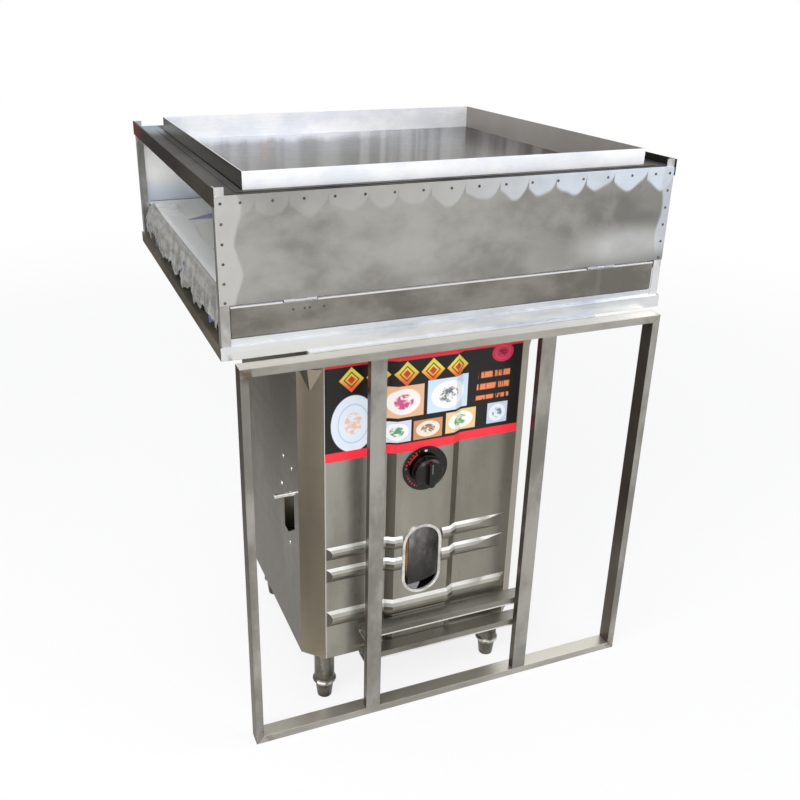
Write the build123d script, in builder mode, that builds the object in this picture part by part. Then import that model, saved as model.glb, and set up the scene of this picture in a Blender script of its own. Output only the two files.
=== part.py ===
from build123d import *
import math
import os

# A rice noodle roll steamer: a square sheet-steel steam cabinet with a lift-out tray in its top,
# a flat stand of rectangular tube across its front, and a gas steam boiler under it.
# Millimetres, +Z up, the front faces -Y. The origin lies on the floor, under the middle of the
# footprint.

# ---- clearances -----------------------------------------------------------------------------
running_gap = 0.05  # a pin or shaft in its bore, on the radius
seat_gap = 0.3  # between a loose or soft piece and its seat
swing_gap = 1.5  # round the flap

# ---- stand ----------------------------------------------------------------------------------
stand_overhang = 21.0  # the cabinet stands this far past the stand at each side
stand_height = 790.0
tube_depth = 30.0
tube_face = 15.0
tube_wall = 1.2
mid_post_spacing = 337.0
shelf_upper_top = 191.0
shelf_lower_top = 136.0
rest_leg = 25.0
rest_thickness = 3.0
rest_lift = 0.5  # the rest angle stands this far above the stand's top rail
rest_length = 570.0

# ---- cabinet --------------------------------------------------------------------------------
cabinet_width = 867.0
cabinet_depth = 842.0
cabinet_height = 283.0
cabinet_setback = 37.0  # from the stand's front face to the cabinet's
base_rail_height = 23.0
base_rail_depth = 20.0
base_rail_wall = 1.5
post_leg = 16.0
post_thickness = 2.0
panel_thickness = 1.2
panel_setback = 3.5  # from the base rail's face to the panel's face
panel_corner = 5.0
top_recess = 13.0  # from the posts' tops down to the seat of the recess deck
top_rail_height = 30.0
top_rail_leg = 24.0
top_rail_thickness = 3.0
front_rail_leg = 20.0
panel_flange_depth = 21.2
rivet_radius = 2.6
rivet_head = 0.8
rivet_sides = 8
rivet_side = 9.0  # from the side rows to the posts' outer faces
rivet_edge = 12.0
rivet_pitch_top = 52.0
rivets_top = 16
rivet_pitch_side = 32.0
rivets_side = 6

# ---- flap -----------------------------------------------------------------------------------
flap_height = 53.9
flap_sheet = 1.2
flap_top_gap = 3.5  # between the flap's top edge and the panel above it
flap_return = 6.0
stop_rail_height = 11.5
stop_rail_depth = 5.8
stop_upstand = 8.0
hinge_length = 58.0
hinge_spacing = 588.0
hinge_barrel = 3.0
hinge_pin = 1.5
leaf_thickness = 1.2
leaf_height = 21.0
leaf_drop = 32.0
knuckle_gap = 0.3

# ---- deck, tub and tray ---------------------------------------------------------------------
deck_top = 96.5  # above the cabinet's underside
deck_side_gap = 23.5  # from the base rail's outer face in to the deck's edge
deck_flange = 20.0
deck_front_gap = 1.1
cross_leg = 20.0
cross_thickness = 2.0
cross_setback = 8.5
tray_margin = 54.0  # from the cabinet's side to the tray's
tray_depth = 711.0
tray_height = 50.8
tray_sheet = 1.8
tray_rise = 18.0  # the rim's height above the posts' tops
tray_setback = 25.1  # from the front panel's face to the tray's
tray_gap = 1.5
tub_sheet = 1.2
tub_flange = 12.0
tub_step = 13.0
tub_depth = 43.7  # below the step that the tray rests on
riser_radius = 38.0
riser_wall = 1.5
riser_flange_thickness = 3.0
riser_stand = 10.0  # how far the riser reaches into the tub

# ---- film left on the deck ------------------------------------------------------------------
film_thickness = 2.0
film_on_deck = 50.0
film_lift = 3.0
film_front = 34.0
film_back = 76.0
film_sections = 12
film_fold = 3.4
film_hem = 5.0
film_fall = 30.0  # height of the lowest fold above the hem

# ---- boiler ---------------------------------------------------------------------------------
boiler_x = -52.0
boiler_setback = 54.5  # from the stand's front face to the boiler's flat front
boiler_width = 476.0
boiler_depth = 446.0
boiler_bottom = 118.5
boiler_sheet = 1.2
boiler_chamfer = 38.0
corner_fold_out = 9.0
corner_fold_low = 88.0
corner_fold_full = 40.0
raised_half = 59.0
raised_slope = 16.0
raised_depth = 8.5
front_seam = 1.0
rib_heights = (246.5, 197.5, 95.5)  # middles of the ribs above the boiler's underside
rib_widths = (28.0, 30.0, 36.0)
rib_rise = 6.0
rib_facets = 5
rib_fade = 65.0  # length of the two upper ribs' fade on the right
rib_fade_start = 46.0  # from the raised middle's foot to the start of that fade
rib_end = 12.0  # length of a rib's sloped end beside the corner
rib_end_gap = 2.0  # from the seam to the tip of that end
rib_tip = 0.2  # height left at the tip of a rib's sloped end
window_height = 199.5
window_wide = 72.0
window_tall = 146.0
rim_width = 6.0
rim_stand = 3.0
slot_front = 67.0  # from the boiler's front face to the slot's front edge
slot_wide = 69.0
slot_low = 242.5
slot_back_tall = 66.0
slot_cut = 30.0  # rise of the slot's low edge over its front part
slot_cut_start = 26.0
slot_front_tall = 84.0
hole_depth = 20.0  # reach of a cut through a sheet, to either side of it

# ---- gas control ----------------------------------------------------------------------------
knob_height = 402.5
bezel_radius = 46.0
bezel_thickness = 2.5
knob_radius = 29.0
knob_skirt = 31.0
knob_skirt_thickness = 4.0
knob_depth = 13.0
knob_face = 24.0
knob_face_rise = 2.0
knob_rim_depth = 4.0  # of the sloped rim between the knob's side and its face
round_sides = 36  # flats round the knob
grip_width = 13.0
grip_length = 52.0
grip_depth = 11.0
grip_corner = 3.5
push_travel = 4.0
spindle_radius = 4.0
plug_radius = 6.5
plug_socket = 22.0  # depth of the spindle's socket in the plug
valve_neck = 11.0
valve_neck_length = 14.0
valve_size = 34.0
valve_length = 40.0
valve_cover = 7.0
spindle_clear = 8.0
spigot_radius = 4.75
spigot_length = 30.0
inlet_radius = 5.25
inlet_reach = 42.0
inlet_height = 361.5
inlet_from_front = 54.0
inlet_bend = 34.0
inlet_straight = 60.0  # inside the casing, before the first bend
inlet_run = 80.0  # straight run beside the valve
feed_radius = 5.0
feed_offset = -17.0
feed_run = 24.0  # from the valve's outlet back to the mixer's mouth
feed_bend = 20.0
bend_steps = 2  # short mitred lengths that make up a bend

# ---- tank and burner ------------------------------------------------------------------------
tank_clearance = 53.0  # from the tank's wall to the boiler's flat front
tank_wall = 2.0
tank_bottom = 93.5
tank_lid = 641.5
neck_radius = 55.0
neck_gap = 0.5
gasket_radius = 78.0
gasket_bore = 58.0
nipple_radius = 10.0
nipple_reach = 18.0
inlet_nipple_drop = 60.0  # below the middle of the flue
drain_nipple_height = 112.0
burner_height = 49.5
burner_outer = 100.0
burner_inner = 62.0
burner_tall = 20.0
burner_ports = 12
port_width = 6.0
port_length = 16.0
mixer_radius = 11.0
mixer_overlap = 20.0  # how far the mixer tube runs into the burner ring
bar_width = 30.0
bar_thickness = 3.0
tank_bar_offset = 110.0
flue_width = 150.0
flue_tall = 46.0
flue_height = 590.0
flue_reach = 34.0

# ---- feet -----------------------------------------------------------------------------------
foot_spacing = 380.0
foot_inset = 36.0
socket_radius = 20.5
socket_flare = 24.0
socket_lip = 20.6
socket_low = 34.5
lip_slope = 5.0
flare_height = 2.5
flare_slope = 4.5
stem_radius = 15.0
stem_top = 110.0
foot_top_radius = 18.3
foot_low_radius = 14.8
foot_slope = 30.0  # height over which the foot narrows
foot_sides = 24  # flats round the flare and the foot

# ---- places worked out from the sizes above -------------------------------------------------
back_y = (cabinet_setback + cabinet_depth) / 2
stand_front = -back_y
cabinet_front = stand_front + cabinet_setback
cabinet_bottom = stand_height + rest_lift + rest_thickness
cabinet_top = cabinet_bottom + cabinet_height
base_top = cabinet_bottom + base_rail_height
half_width = cabinet_width / 2
stand_width = cabinet_width - 2 * stand_overhang
deck_half_width = half_width - deck_side_gap
tray_width = cabinet_width - 2 * tray_margin
post_x = half_width - top_rail_thickness
panel_front = cabinet_front + panel_setback
post_front = panel_front + panel_thickness
panel_back = back_y - panel_setback
post_back = panel_back - panel_thickness
recess_z = cabinet_top - top_recess
hinge_y = post_front + hinge_barrel
stop_z = base_top + stop_rail_height
flap_bottom = stop_z + swing_gap
flap_top = flap_bottom + flap_height
panel_bottom = flap_top + flap_top_gap
hinge_z = flap_top + 0.5
deck_z = cabinet_bottom + deck_top
boiler_front = stand_front + boiler_setback
boiler_back = boiler_front + boiler_depth
boiler_y = (boiler_front + boiler_back) / 2
boiler_top = stand_height
raised_front = boiler_front - raised_depth
side_low = boiler_bottom + boiler_sheet
side_high = boiler_top - boiler_sheet
knob_z = boiler_bottom + knob_height
valve_face = raised_front + boiler_sheet
window_z = boiler_bottom + window_height
side_x = boiler_x - boiler_width / 2
inlet_y = boiler_front + inlet_from_front
inlet_z = boiler_bottom + inlet_height
pipe_y = valve_face + valve_neck_length + valve_length / 2
mixer_front = pipe_y + feed_run
inlet_nipple_height = flue_height - inlet_nipple_drop
tank_radius = boiler_depth / 2 - tank_clearance


def write(piece, label):
    """Label a finished piece and write it as one STEP file."""
    piece.part.label = label
    export_step(piece.part, f"parts/{label}.step")


def block(x, y, z, mode=Mode.ADD):
    """A box between two limits along each axis, for use inside a part."""
    centre = tuple((low + high) / 2 for low, high in (x, y, z))
    size = [high - low for low, high in (x, y, z)]
    with Locations(centre):
        Box(*size, mode=mode)


def flatted(radius, sides, plane, centre, length):
    """A many-sided prism on a plane, which stands in for a round, for use inside a part."""
    with BuildSketch(plane) as foot:
        with Locations(centre):
            RegularPolygon(radius, sides, major_radius=False)
    extrude(foot.sketch, amount=length)


def folded_sheet(plane, points, thickness, length, side=Side.LEFT):
    """A sheet folded along points, drawn out along the plane's normal."""
    with BuildPart() as sheet:
        with BuildSketch(plane):
            with BuildLine():
                fold = Polyline(points)
                offset(fold, amount=thickness, side=side)
            make_face()
        extrude(amount=length)
    return sheet


def mitred_tube(middle, along, inward, out_of_plane, sizes):
    """A rectangular tube cut at 45 degrees at both ends.

    middle is the middle of its outer edge, sizes its length, face, depth and wall."""
    length, face, depth, wall = sizes
    normal = Vector(*along).cross(Vector(*inward))
    with BuildPart() as member:
        for inset, mode in ((0, Mode.ADD), (wall, Mode.SUBTRACT)):
            start = Vector(*middle) + Vector(*out_of_plane) * inset
            outer = length / 2 - inset
            inner = length / 2 - face + inset
            with BuildSketch(Plane(origin=start, x_dir=along, z_dir=normal)):
                Polygon(
                    (-outer, inset),
                    (outer, inset),
                    (inner, face - inset),
                    (-inner, face - inset),
                    align=None,
                )
            extrude(amount=depth - 2 * inset, dir=out_of_plane, mode=mode)
    return member


def square_tube(x, y, z, wall, axis):
    """A rectangular tube with square ends, open along axis 0, 1 or 2."""
    bore = [(low + wall, high - wall) for low, high in (x, y, z)]
    bore[axis] = (x, y, z)[axis]
    with BuildPart() as tube:
        block(x, y, z)
        block(*bore, mode=Mode.SUBTRACT)
    return tube


# ---- stand ----------------------------------------------------------------------------------
def make_stand():
    """The flat frame of tube across the front, with its short double shelf."""
    back = (0, 1, 0)
    half = stand_width / 2
    middle_z = stand_height / 2
    upright = (stand_height, tube_face, tube_depth, tube_wall)
    across = (stand_width, tube_face, tube_depth, tube_wall)
    members = {
        "frame_bottom_rail": ((0, stand_front, 0), (1, 0, 0), (0, 0, 1), across),
        "frame_top_rail": ((0, stand_front, stand_height), (1, 0, 0), (0, 0, -1), across),
        "frame_left_post": ((-half, stand_front, middle_z), (0, 0, 1), (1, 0, 0), upright),
        "frame_right_post": ((half, stand_front, middle_z), (0, 0, 1), (-1, 0, 0), upright),
    }
    for name, (middle, along, inward, sizes) in members.items():
        write(mitred_tube(middle, along, inward, back, sizes), name)

    for name, side in (("frame_mid_post_left", -1), ("frame_mid_post_right", 1)):
        x = side * mid_post_spacing / 2
        post = square_tube(
            (x - tube_depth / 2, x + tube_depth / 2),
            (stand_front, stand_front + tube_face),
            (tube_face, stand_height - tube_face),
            tube_wall,
            axis=2,
        )
        write(post, name)

    shelf_half = (mid_post_spacing + tube_depth) / 2
    shelf_front = stand_front + tube_face
    for name, top in (("shelf_rail_upper", shelf_upper_top), ("shelf_rail_lower", shelf_lower_top)):
        rail = square_tube(
            (-shelf_half, shelf_half),
            (shelf_front, shelf_front + tube_depth),
            (top - tube_face, top),
            tube_wall,
            axis=0,
        )
        write(rail, name)

    # The rest angle is welded to the top rail's back face and carries the cabinet's front.
    rest_front = stand_front + tube_depth
    angle = folded_sheet(
        Plane.YZ.offset(-rest_length / 2),
        [
            (rest_front, cabinet_bottom - rest_leg),
            (rest_front, cabinet_bottom),
            (rest_front + rest_leg, cabinet_bottom),
        ],
        rest_thickness,
        rest_length,
        Side.RIGHT,
    )
    write(angle, "cabinet_rest_angle")


# ---- cabinet frame --------------------------------------------------------------------------
def make_base_rails():
    """Four mitred tubes round the cabinet's foot."""
    up = (0, 0, 1)
    middle_y = (cabinet_front + back_y) / 2
    across = (cabinet_width, base_rail_depth, base_rail_height, base_rail_wall)
    deep = (cabinet_depth, base_rail_depth, base_rail_height, base_rail_wall)
    z = cabinet_bottom
    members = {
        "base_rail_front": ((0, cabinet_front, z), (1, 0, 0), (0, 1, 0), across),
        "base_rail_back": ((0, back_y, z), (1, 0, 0), (0, -1, 0), across),
        "base_rail_left": ((-half_width, middle_y, z), (0, 1, 0), (1, 0, 0), deep),
        "base_rail_right": ((half_width, middle_y, z), (0, 1, 0), (-1, 0, 0), deep),
    }
    for name, (middle, along, inward, sizes) in members.items():
        write(mitred_tube(middle, along, inward, up, sizes), name)


def make_posts():
    """Corner posts of angle, standing on the base rails."""
    for x_name, x_side in (("left", -1), ("right", 1)):
        for y_name, corner_y, y_in in (("front", post_front, 1), ("back", post_back, -1)):
            corner_x = x_side * post_x
            with BuildPart() as post:
                leg_x = sorted((corner_x, corner_x - x_side * post_leg))
                leg_y = sorted((corner_y, corner_y + y_in * post_leg))
                thin_x = sorted((corner_x, corner_x - x_side * post_thickness))
                thin_y = sorted((corner_y, corner_y + y_in * post_thickness))
                block(leg_x, thin_y, (base_top, cabinet_top))
                block(thin_x, leg_y, (base_top, cabinet_top))
            write(post, f"corner_post_{y_name}_{x_name}")


def make_top_rails():
    """Angles lapped on the posts' outsides, and one between the posts behind the front panel."""
    lap = panel_flange_depth + seat_gap
    for name, side in (("left", -1), ("right", 1)):
        outer = side * half_width
        inner = side * post_x
        with BuildPart() as rail:
            block(
                sorted((outer, inner)),
                (panel_front, panel_back),
                (cabinet_top - top_rail_height, cabinet_top),
            )
            block(
                sorted((inner, inner - side * top_rail_leg)),
                (panel_front + lap, panel_back - lap),
                (recess_z - top_rail_thickness, recess_z),
            )
        write(rail, f"top_rail_{name}")

    rail_half = post_x - post_leg
    rail_top = recess_z - panel_thickness
    front_rail = folded_sheet(
        Plane.YZ.offset(-rail_half),
        [
            (post_front, rail_top - front_rail_leg),
            (post_front, rail_top),
            (post_front + front_rail_leg, rail_top),
        ],
        post_thickness,
        2 * rail_half,
        Side.RIGHT,
    )
    write(front_rail, "top_rail_front")


def make_panels():
    """The front panel above the flap and the full-height back panel, each flanged at its top."""
    flange_half = post_x - post_leg - seat_gap
    for name, face, inward, low in (
        ("front_panel", panel_front, 1, panel_bottom),
        ("back_panel", panel_back, -1, base_top),
    ):
        with BuildPart() as panel:
            with BuildSketch(Plane.XZ.offset(-face)):
                with Locations((0, (low + recess_z) / 2)):
                    outline = Rectangle(2 * post_x, recess_z - low)
                fillet(outline.vertices().group_by(Axis.Y)[-1], panel_corner)
            extrude(amount=-inward * panel_thickness)
            block(
                (-flange_half, flange_half),
                sorted((face, face + inward * panel_flange_depth)),
                (recess_z - panel_thickness, recess_z),
            )
        write(panel, name)


def make_rivets():
    """Rivet heads along the front panel's top and down both its sides."""
    top_z = recess_z - rivet_edge
    row_x = post_x - rivet_side
    start = -(rivets_top - 1) / 2 * rivet_pitch_top
    spots = [(start + i * rivet_pitch_top, top_z) for i in range(rivets_top)]
    for i in range(rivets_side):
        spots += [(-row_x, top_z - i * rivet_pitch_side), (row_x, top_z - i * rivet_pitch_side)]
    with BuildPart() as rivets:
        with BuildSketch(Plane.XZ.offset(-panel_front)):
            with Locations(spots):
                RegularPolygon(rivet_radius, rivet_sides)
        extrude(amount=rivet_head, taper=30)
    write(rivets, "panel_rivets")


# ---- flap -----------------------------------------------------------------------------------
def make_flap():
    """The drop flap under the front panel: top-hinged, it swings forward and up."""
    half = post_x - post_leg - swing_gap
    skin_front = hinge_y - flap_sheet
    hinges = (-hinge_spacing / 2, hinge_spacing / 2)
    notch_half = hinge_length / 2 + swing_gap
    with BuildPart() as door:
        block((-half, half), (skin_front, hinge_y), (flap_bottom, flap_top))
        for low in (flap_bottom, flap_top - flap_sheet):
            block((-half, half), (skin_front, skin_front + flap_return), (low, low + flap_sheet))
        for x in hinges:
            block(
                (x - notch_half, x + notch_half),
                (skin_front, skin_front + flap_return),
                (hinge_z - hinge_barrel - seat_gap, flap_top),
                mode=Mode.SUBTRACT,
            )
    write(door, "flap_door")

    knuckle = hinge_length / 3
    with BuildPart() as fixed:
        for x in hinges:
            for side in (-1, 1):
                centre = x + side * knuckle
                reach = knuckle / 2 - knuckle_gap / 2
                with Locations((centre, hinge_y, hinge_z)):
                    Cylinder(hinge_barrel, 2 * reach, rotation=(0, 90, 0))
                block(
                    (centre - reach, centre + reach),
                    (post_front, post_front + leaf_thickness),
                    (hinge_z, hinge_z + hinge_barrel + seat_gap),
                )
            block(
                (x - hinge_length / 2, x + hinge_length / 2),
                (post_front, post_front + leaf_thickness),
                (hinge_z + hinge_barrel + seat_gap, hinge_z + leaf_height),
            )
            with Locations((x, hinge_y, hinge_z)):
                Cylinder(
                    hinge_pin + running_gap,
                    2 * hinge_length,
                    rotation=(0, 90, 0),
                    mode=Mode.SUBTRACT,
                )
    write(fixed, "flap_hinge_fixed_leaves")

    with BuildPart() as moving:
        for x in hinges:
            reach = knuckle / 2 - knuckle_gap / 2
            with Locations((x, hinge_y, hinge_z)):
                Cylinder(hinge_barrel, 2 * reach, rotation=(0, 90, 0))
            block(
                (x - reach, x + reach),
                (hinge_y, hinge_y + leaf_thickness),
                (hinge_z - hinge_barrel - seat_gap, hinge_z),
            )
            block(
                (x - hinge_length / 2, x + hinge_length / 2),
                (hinge_y, hinge_y + leaf_thickness),
                (hinge_z - leaf_drop, hinge_z - hinge_barrel - seat_gap),
            )
            with Locations((x, hinge_y, hinge_z)):
                Cylinder(
                    hinge_pin + running_gap,
                    2 * hinge_length,
                    rotation=(0, 90, 0),
                    mode=Mode.SUBTRACT,
                )
    write(moving, "flap_hinge_moving_leaves")

    with BuildPart() as pins:
        for x in hinges:
            with Locations((x, hinge_y, hinge_z)):
                Cylinder(hinge_pin, hinge_length, rotation=(0, 90, 0))
    write(pins, "flap_hinge_pins")

    stop_front = post_front + post_thickness + seat_gap
    stop_half = post_x - post_leg - seat_gap
    stop = folded_sheet(
        Plane.YZ.offset(-stop_half),
        [
            (stop_front, base_top),
            (stop_front, stop_z),
            (stop_front + stop_rail_depth, stop_z),
            (stop_front + stop_rail_depth, stop_z + stop_upstand),
        ],
        panel_thickness,
        2 * stop_half,
        Side.RIGHT,
    )
    write(stop, "flap_stop_rail")


# ---- deck, tub, tray and steam way ----------------------------------------------------------
def steam_hole(radius):
    """Cut the steam riser's way through a level sheet, for use inside a part."""
    with Locations((boiler_x, boiler_y, cabinet_bottom)):
        Cylinder(radius, 3 * cabinet_height, mode=Mode.SUBTRACT)


def make_deck():
    """The shelf sheet across the open compartment and the angles under its ends."""
    seat = deck_z - panel_thickness
    cross_front = post_front + cross_setback
    with BuildPart() as crosses:
        for face, inward, half in (
            (cross_front, 1, post_x - post_thickness),
            (post_back, -1, post_x - post_leg),
        ):
            block(
                (-half, half),
                sorted((face, face + inward * cross_thickness)),
                (seat - cross_leg, seat),
            )
            block(
                (-half, half),
                sorted((face, face + inward * cross_leg)),
                (seat - cross_thickness, seat),
            )
    write(crosses, "deck_cross_angles")

    deck_front = post_front + leaf_thickness + deck_front_gap
    flange_front = cross_front + cross_leg + seat_gap
    flange_back = post_back - cross_leg - seat_gap
    with BuildPart() as deck:
        block((-deck_half_width, deck_half_width), (deck_front, post_back), (seat, deck_z))
        for side in (-1, 1):
            block(
                sorted((side * deck_half_width, side * (deck_half_width - panel_thickness))),
                (flange_front, flange_back),
                (deck_z - deck_flange, seat),
            )
        steam_hole(riser_radius + tray_gap)
    write(deck, "deck_plate")

    floor = base_rail_depth
    with BuildPart() as bottom:
        block(
            (-half_width + floor, half_width - floor),
            (cabinet_front + floor, back_y - floor),
            (cabinet_bottom, cabinet_bottom + panel_thickness),
        )
        steam_hole(gasket_bore)
    write(bottom, "cabinet_floor")


def make_tray():
    """The recess deck, the stepped steam tub hung in it and the tray that lifts out."""
    tray_front = panel_front + tray_setback
    tray_back = tray_front + tray_depth
    step_z = cabinet_top + tray_rise - tray_height - seat_gap
    flange_z = recess_z + panel_thickness
    grow = tray_gap + tub_sheet

    def around(extra):
        """Limits in X and Y of a rectangle that stands extra outside the tray's walls."""
        wide = (-tray_width / 2 - extra, tray_width / 2 + extra)
        return wide, (tray_front - extra, tray_back + extra)

    with BuildPart() as recess:
        edge = post_x - post_thickness - seat_gap
        block(
            (-edge, edge),
            (post_front + post_thickness + seat_gap, post_back - post_thickness - seat_gap),
            (recess_z, flange_z),
        )
        block(*around(grow + seat_gap), (recess_z - 1, flange_z + 1), mode=Mode.SUBTRACT)
    write(recess, "recess_deck")

    low = step_z - tub_depth
    with BuildPart() as tub:
        block(*around(grow), (step_z - tub_sheet, flange_z))
        block(*around(grow + tub_flange), (flange_z, flange_z + tub_sheet))
        block(*around(tray_gap), (step_z, flange_z + tub_sheet), mode=Mode.SUBTRACT)
        block(*around(tub_sheet - tub_step), (low, step_z - tub_sheet))
        block(*around(-tub_step), (low + tub_sheet, step_z), mode=Mode.SUBTRACT)
        steam_hole(riser_radius + seat_gap)
    write(tub, "steam_tub")

    tray_z = step_z + seat_gap
    with BuildPart() as tray:
        block(*around(0), (tray_z, tray_z + tray_height))
        block(*around(-tray_sheet), (tray_z + tray_sheet, tray_z + tray_height), mode=Mode.SUBTRACT)
    write(tray, "tray")

    floor_top = cabinet_bottom + panel_thickness
    top = low + tub_sheet + riser_stand
    bore = riser_radius - riser_wall
    with BuildPart() as riser:
        with BuildSketch(Plane.XZ.offset(-boiler_y)):
            with Locations((boiler_x, 0)):
                Polygon(
                    (bore, floor_top),
                    (gasket_radius, floor_top),
                    (gasket_radius, floor_top + riser_flange_thickness),
                    (riser_radius, floor_top + riser_flange_thickness),
                    (riser_radius, top),
                    (bore, top),
                    align=None,
                )
        revolve(axis=Axis((boiler_x, boiler_y, 0), (0, 0, 1)))
    write(riser, "steam_riser")

    with BuildPart() as gasket:
        with BuildSketch(Plane.XY.offset(boiler_top)):
            with Locations((boiler_x, boiler_y)):
                Circle(gasket_radius)
                Circle(gasket_bore, mode=Mode.SUBTRACT)
        extrude(amount=cabinet_bottom - boiler_top)
    write(gasket, "steam_gasket")


def make_film():
    """Leftover film that lies on the deck's left edge and hangs in folds to the base rail."""
    edge_x = -deck_half_width
    outer_x = -half_width
    start = cabinet_front + film_front
    length = back_y - film_back - start
    hem_z = base_top + seat_gap
    with BuildPart() as film:
        for i in range(film_sections):
            share = i / (film_sections - 1)
            fold = film_fold * math.sin(4.6 * math.pi * share)
            hem = hem_z + film_hem * (1 - math.cos(7 * math.pi * share))
            lift = film_lift * (1 + math.sin(5.4 * math.pi * share + 1))
            top = deck_z + seat_gap
            with BuildSketch(Plane.XZ.offset(-(start + share * length))):
                Polygon(
                    (edge_x + film_on_deck, top),
                    (edge_x - seat_gap, top),
                    (outer_x + 16 + fold - film_thickness, deck_z - 14),
                    (outer_x + 12 + fold - film_thickness, hem_z + film_fall),
                    (outer_x + 6 + film_thickness, hem),
                    (outer_x + 6, hem),
                    (outer_x + 10 + fold - 2 * film_thickness, hem_z + film_fall),
                    (outer_x + 13 + fold - 2 * film_thickness, deck_z - 12),
                    (edge_x - 5, top + film_thickness + lift / 2),
                    (edge_x + 6, top + film_thickness + lift),
                    (edge_x + film_on_deck, top + film_thickness),
                    align=None,
                )
        loft(ruled=True)
    write(film, "deck_film")


# ---- boiler casing --------------------------------------------------------------------------
def front_outline():
    """Plan of the boiler's flat front with its raised middle, left to right."""
    half = boiler_width / 2 - boiler_chamfer
    base = raised_half + raised_slope
    return [
        (boiler_x - half, boiler_front),
        (boiler_x - base, boiler_front),
        (boiler_x - raised_half, raised_front),
        (boiler_x + raised_half, raised_front),
        (boiler_x + base, boiler_front),
        (boiler_x + half, boiler_front),
    ]


def make_boiler_sides():
    """Side sheets with the front chamfers and the corner folds at their tops."""
    half = boiler_width / 2
    fold_mid = boiler_chamfer / 2
    out = corner_fold_out / math.sqrt(2)
    for name, side in (("left", -1), ("right", 1)):
        edge = boiler_x + side * half
        inner = edge - side * boiler_chamfer
        chamfer_back = boiler_front + boiler_chamfer
        plan = [(edge, boiler_back), (edge, chamfer_back), (inner, boiler_front)]
        turn = Side.LEFT if side < 0 else Side.RIGHT
        with BuildPart() as sheet:
            with BuildSketch(Plane.XY.offset(side_low)):
                with BuildLine():
                    fold = Polyline(plan)
                    offset(fold, amount=boiler_sheet, side=turn)
                make_face()
            extrude(amount=side_high - side_low)

            middle = (edge - side * fold_mid, boiler_front + fold_mid)
            peak = (middle[0] + side * out, middle[1] - out)
            with BuildSketch(Plane.XY.offset(side_high - corner_fold_full)) as fold_plan:
                Polygon((edge, chamfer_back), (inner, boiler_front), peak, align=None)
            extrude(fold_plan.sketch, amount=corner_fold_full)
            tip = Vertex(middle[0], middle[1], side_high - corner_fold_low)
            loft([fold_plan.sketch.face(), tip])
            if side < 0:
                slot_y = boiler_front + slot_front
                slot_back = slot_y + slot_wide
                slot_z = boiler_bottom + slot_low
                with BuildSketch(Plane.YZ.offset(edge)):
                    Polygon(
                        (slot_back, slot_z),
                        (slot_back, slot_z + slot_back_tall),
                        (slot_y, slot_z + slot_cut + slot_front_tall),
                        (slot_y, slot_z + slot_cut),
                        (slot_back - slot_cut_start, slot_z),
                        align=None,
                    )
                    with Locations((inlet_y, inlet_z)):
                        Circle(inlet_radius + seat_gap)
                extrude(amount=2 * boiler_sheet, both=True, mode=Mode.SUBTRACT)
        write(sheet, f"boiler_side_{name}")


def rib_section(plane, width, rise, sunk):
    """A rib's cross-section: an arc in flats that stands off the sheet, with a straight back."""
    radius = (width**2 / 4 + rise**2) / (2 * rise)
    half_turn = math.asin(width / 2 / radius)
    turns = [half_turn * (2 * k / rib_facets - 1) for k in range(rib_facets + 1)]
    arc = [(rise - radius + radius * math.cos(a), radius * math.sin(a)) for a in turns]
    with BuildSketch(plane) as section:
        Polygon(*arc, (-sunk, width / 2), (-sunk, -width / 2), align=None)
    return section.sketch


def rib_run(points, z, width, rise, sunk, mode):
    """Sweep a rib along a run of the front's outline, for use inside a part."""
    run = [(x, y, z) for x, y in points]
    with BuildLine(mode=Mode.PRIVATE) as path:
        Polyline(run)
    section = rib_section(
        Plane(origin=run[0], x_dir=(0, -1, 0), z_dir=(1, 0, 0)), width, rise, sunk
    )
    sweep(section, path=path.wire(), transition=Transition.RIGHT, mode=mode)


def rib_points(first, last):
    """The front's outline between two places across it, for a rib."""
    inside = [point for point in front_outline() if first < point[0] < last]
    middle = (boiler_x - raised_half, boiler_x + raised_half)
    ends = [(x, raised_front if middle[0] < x < middle[1] else boiler_front) for x in (first, last)]
    return [ends[0], *inside, ends[1]]


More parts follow.
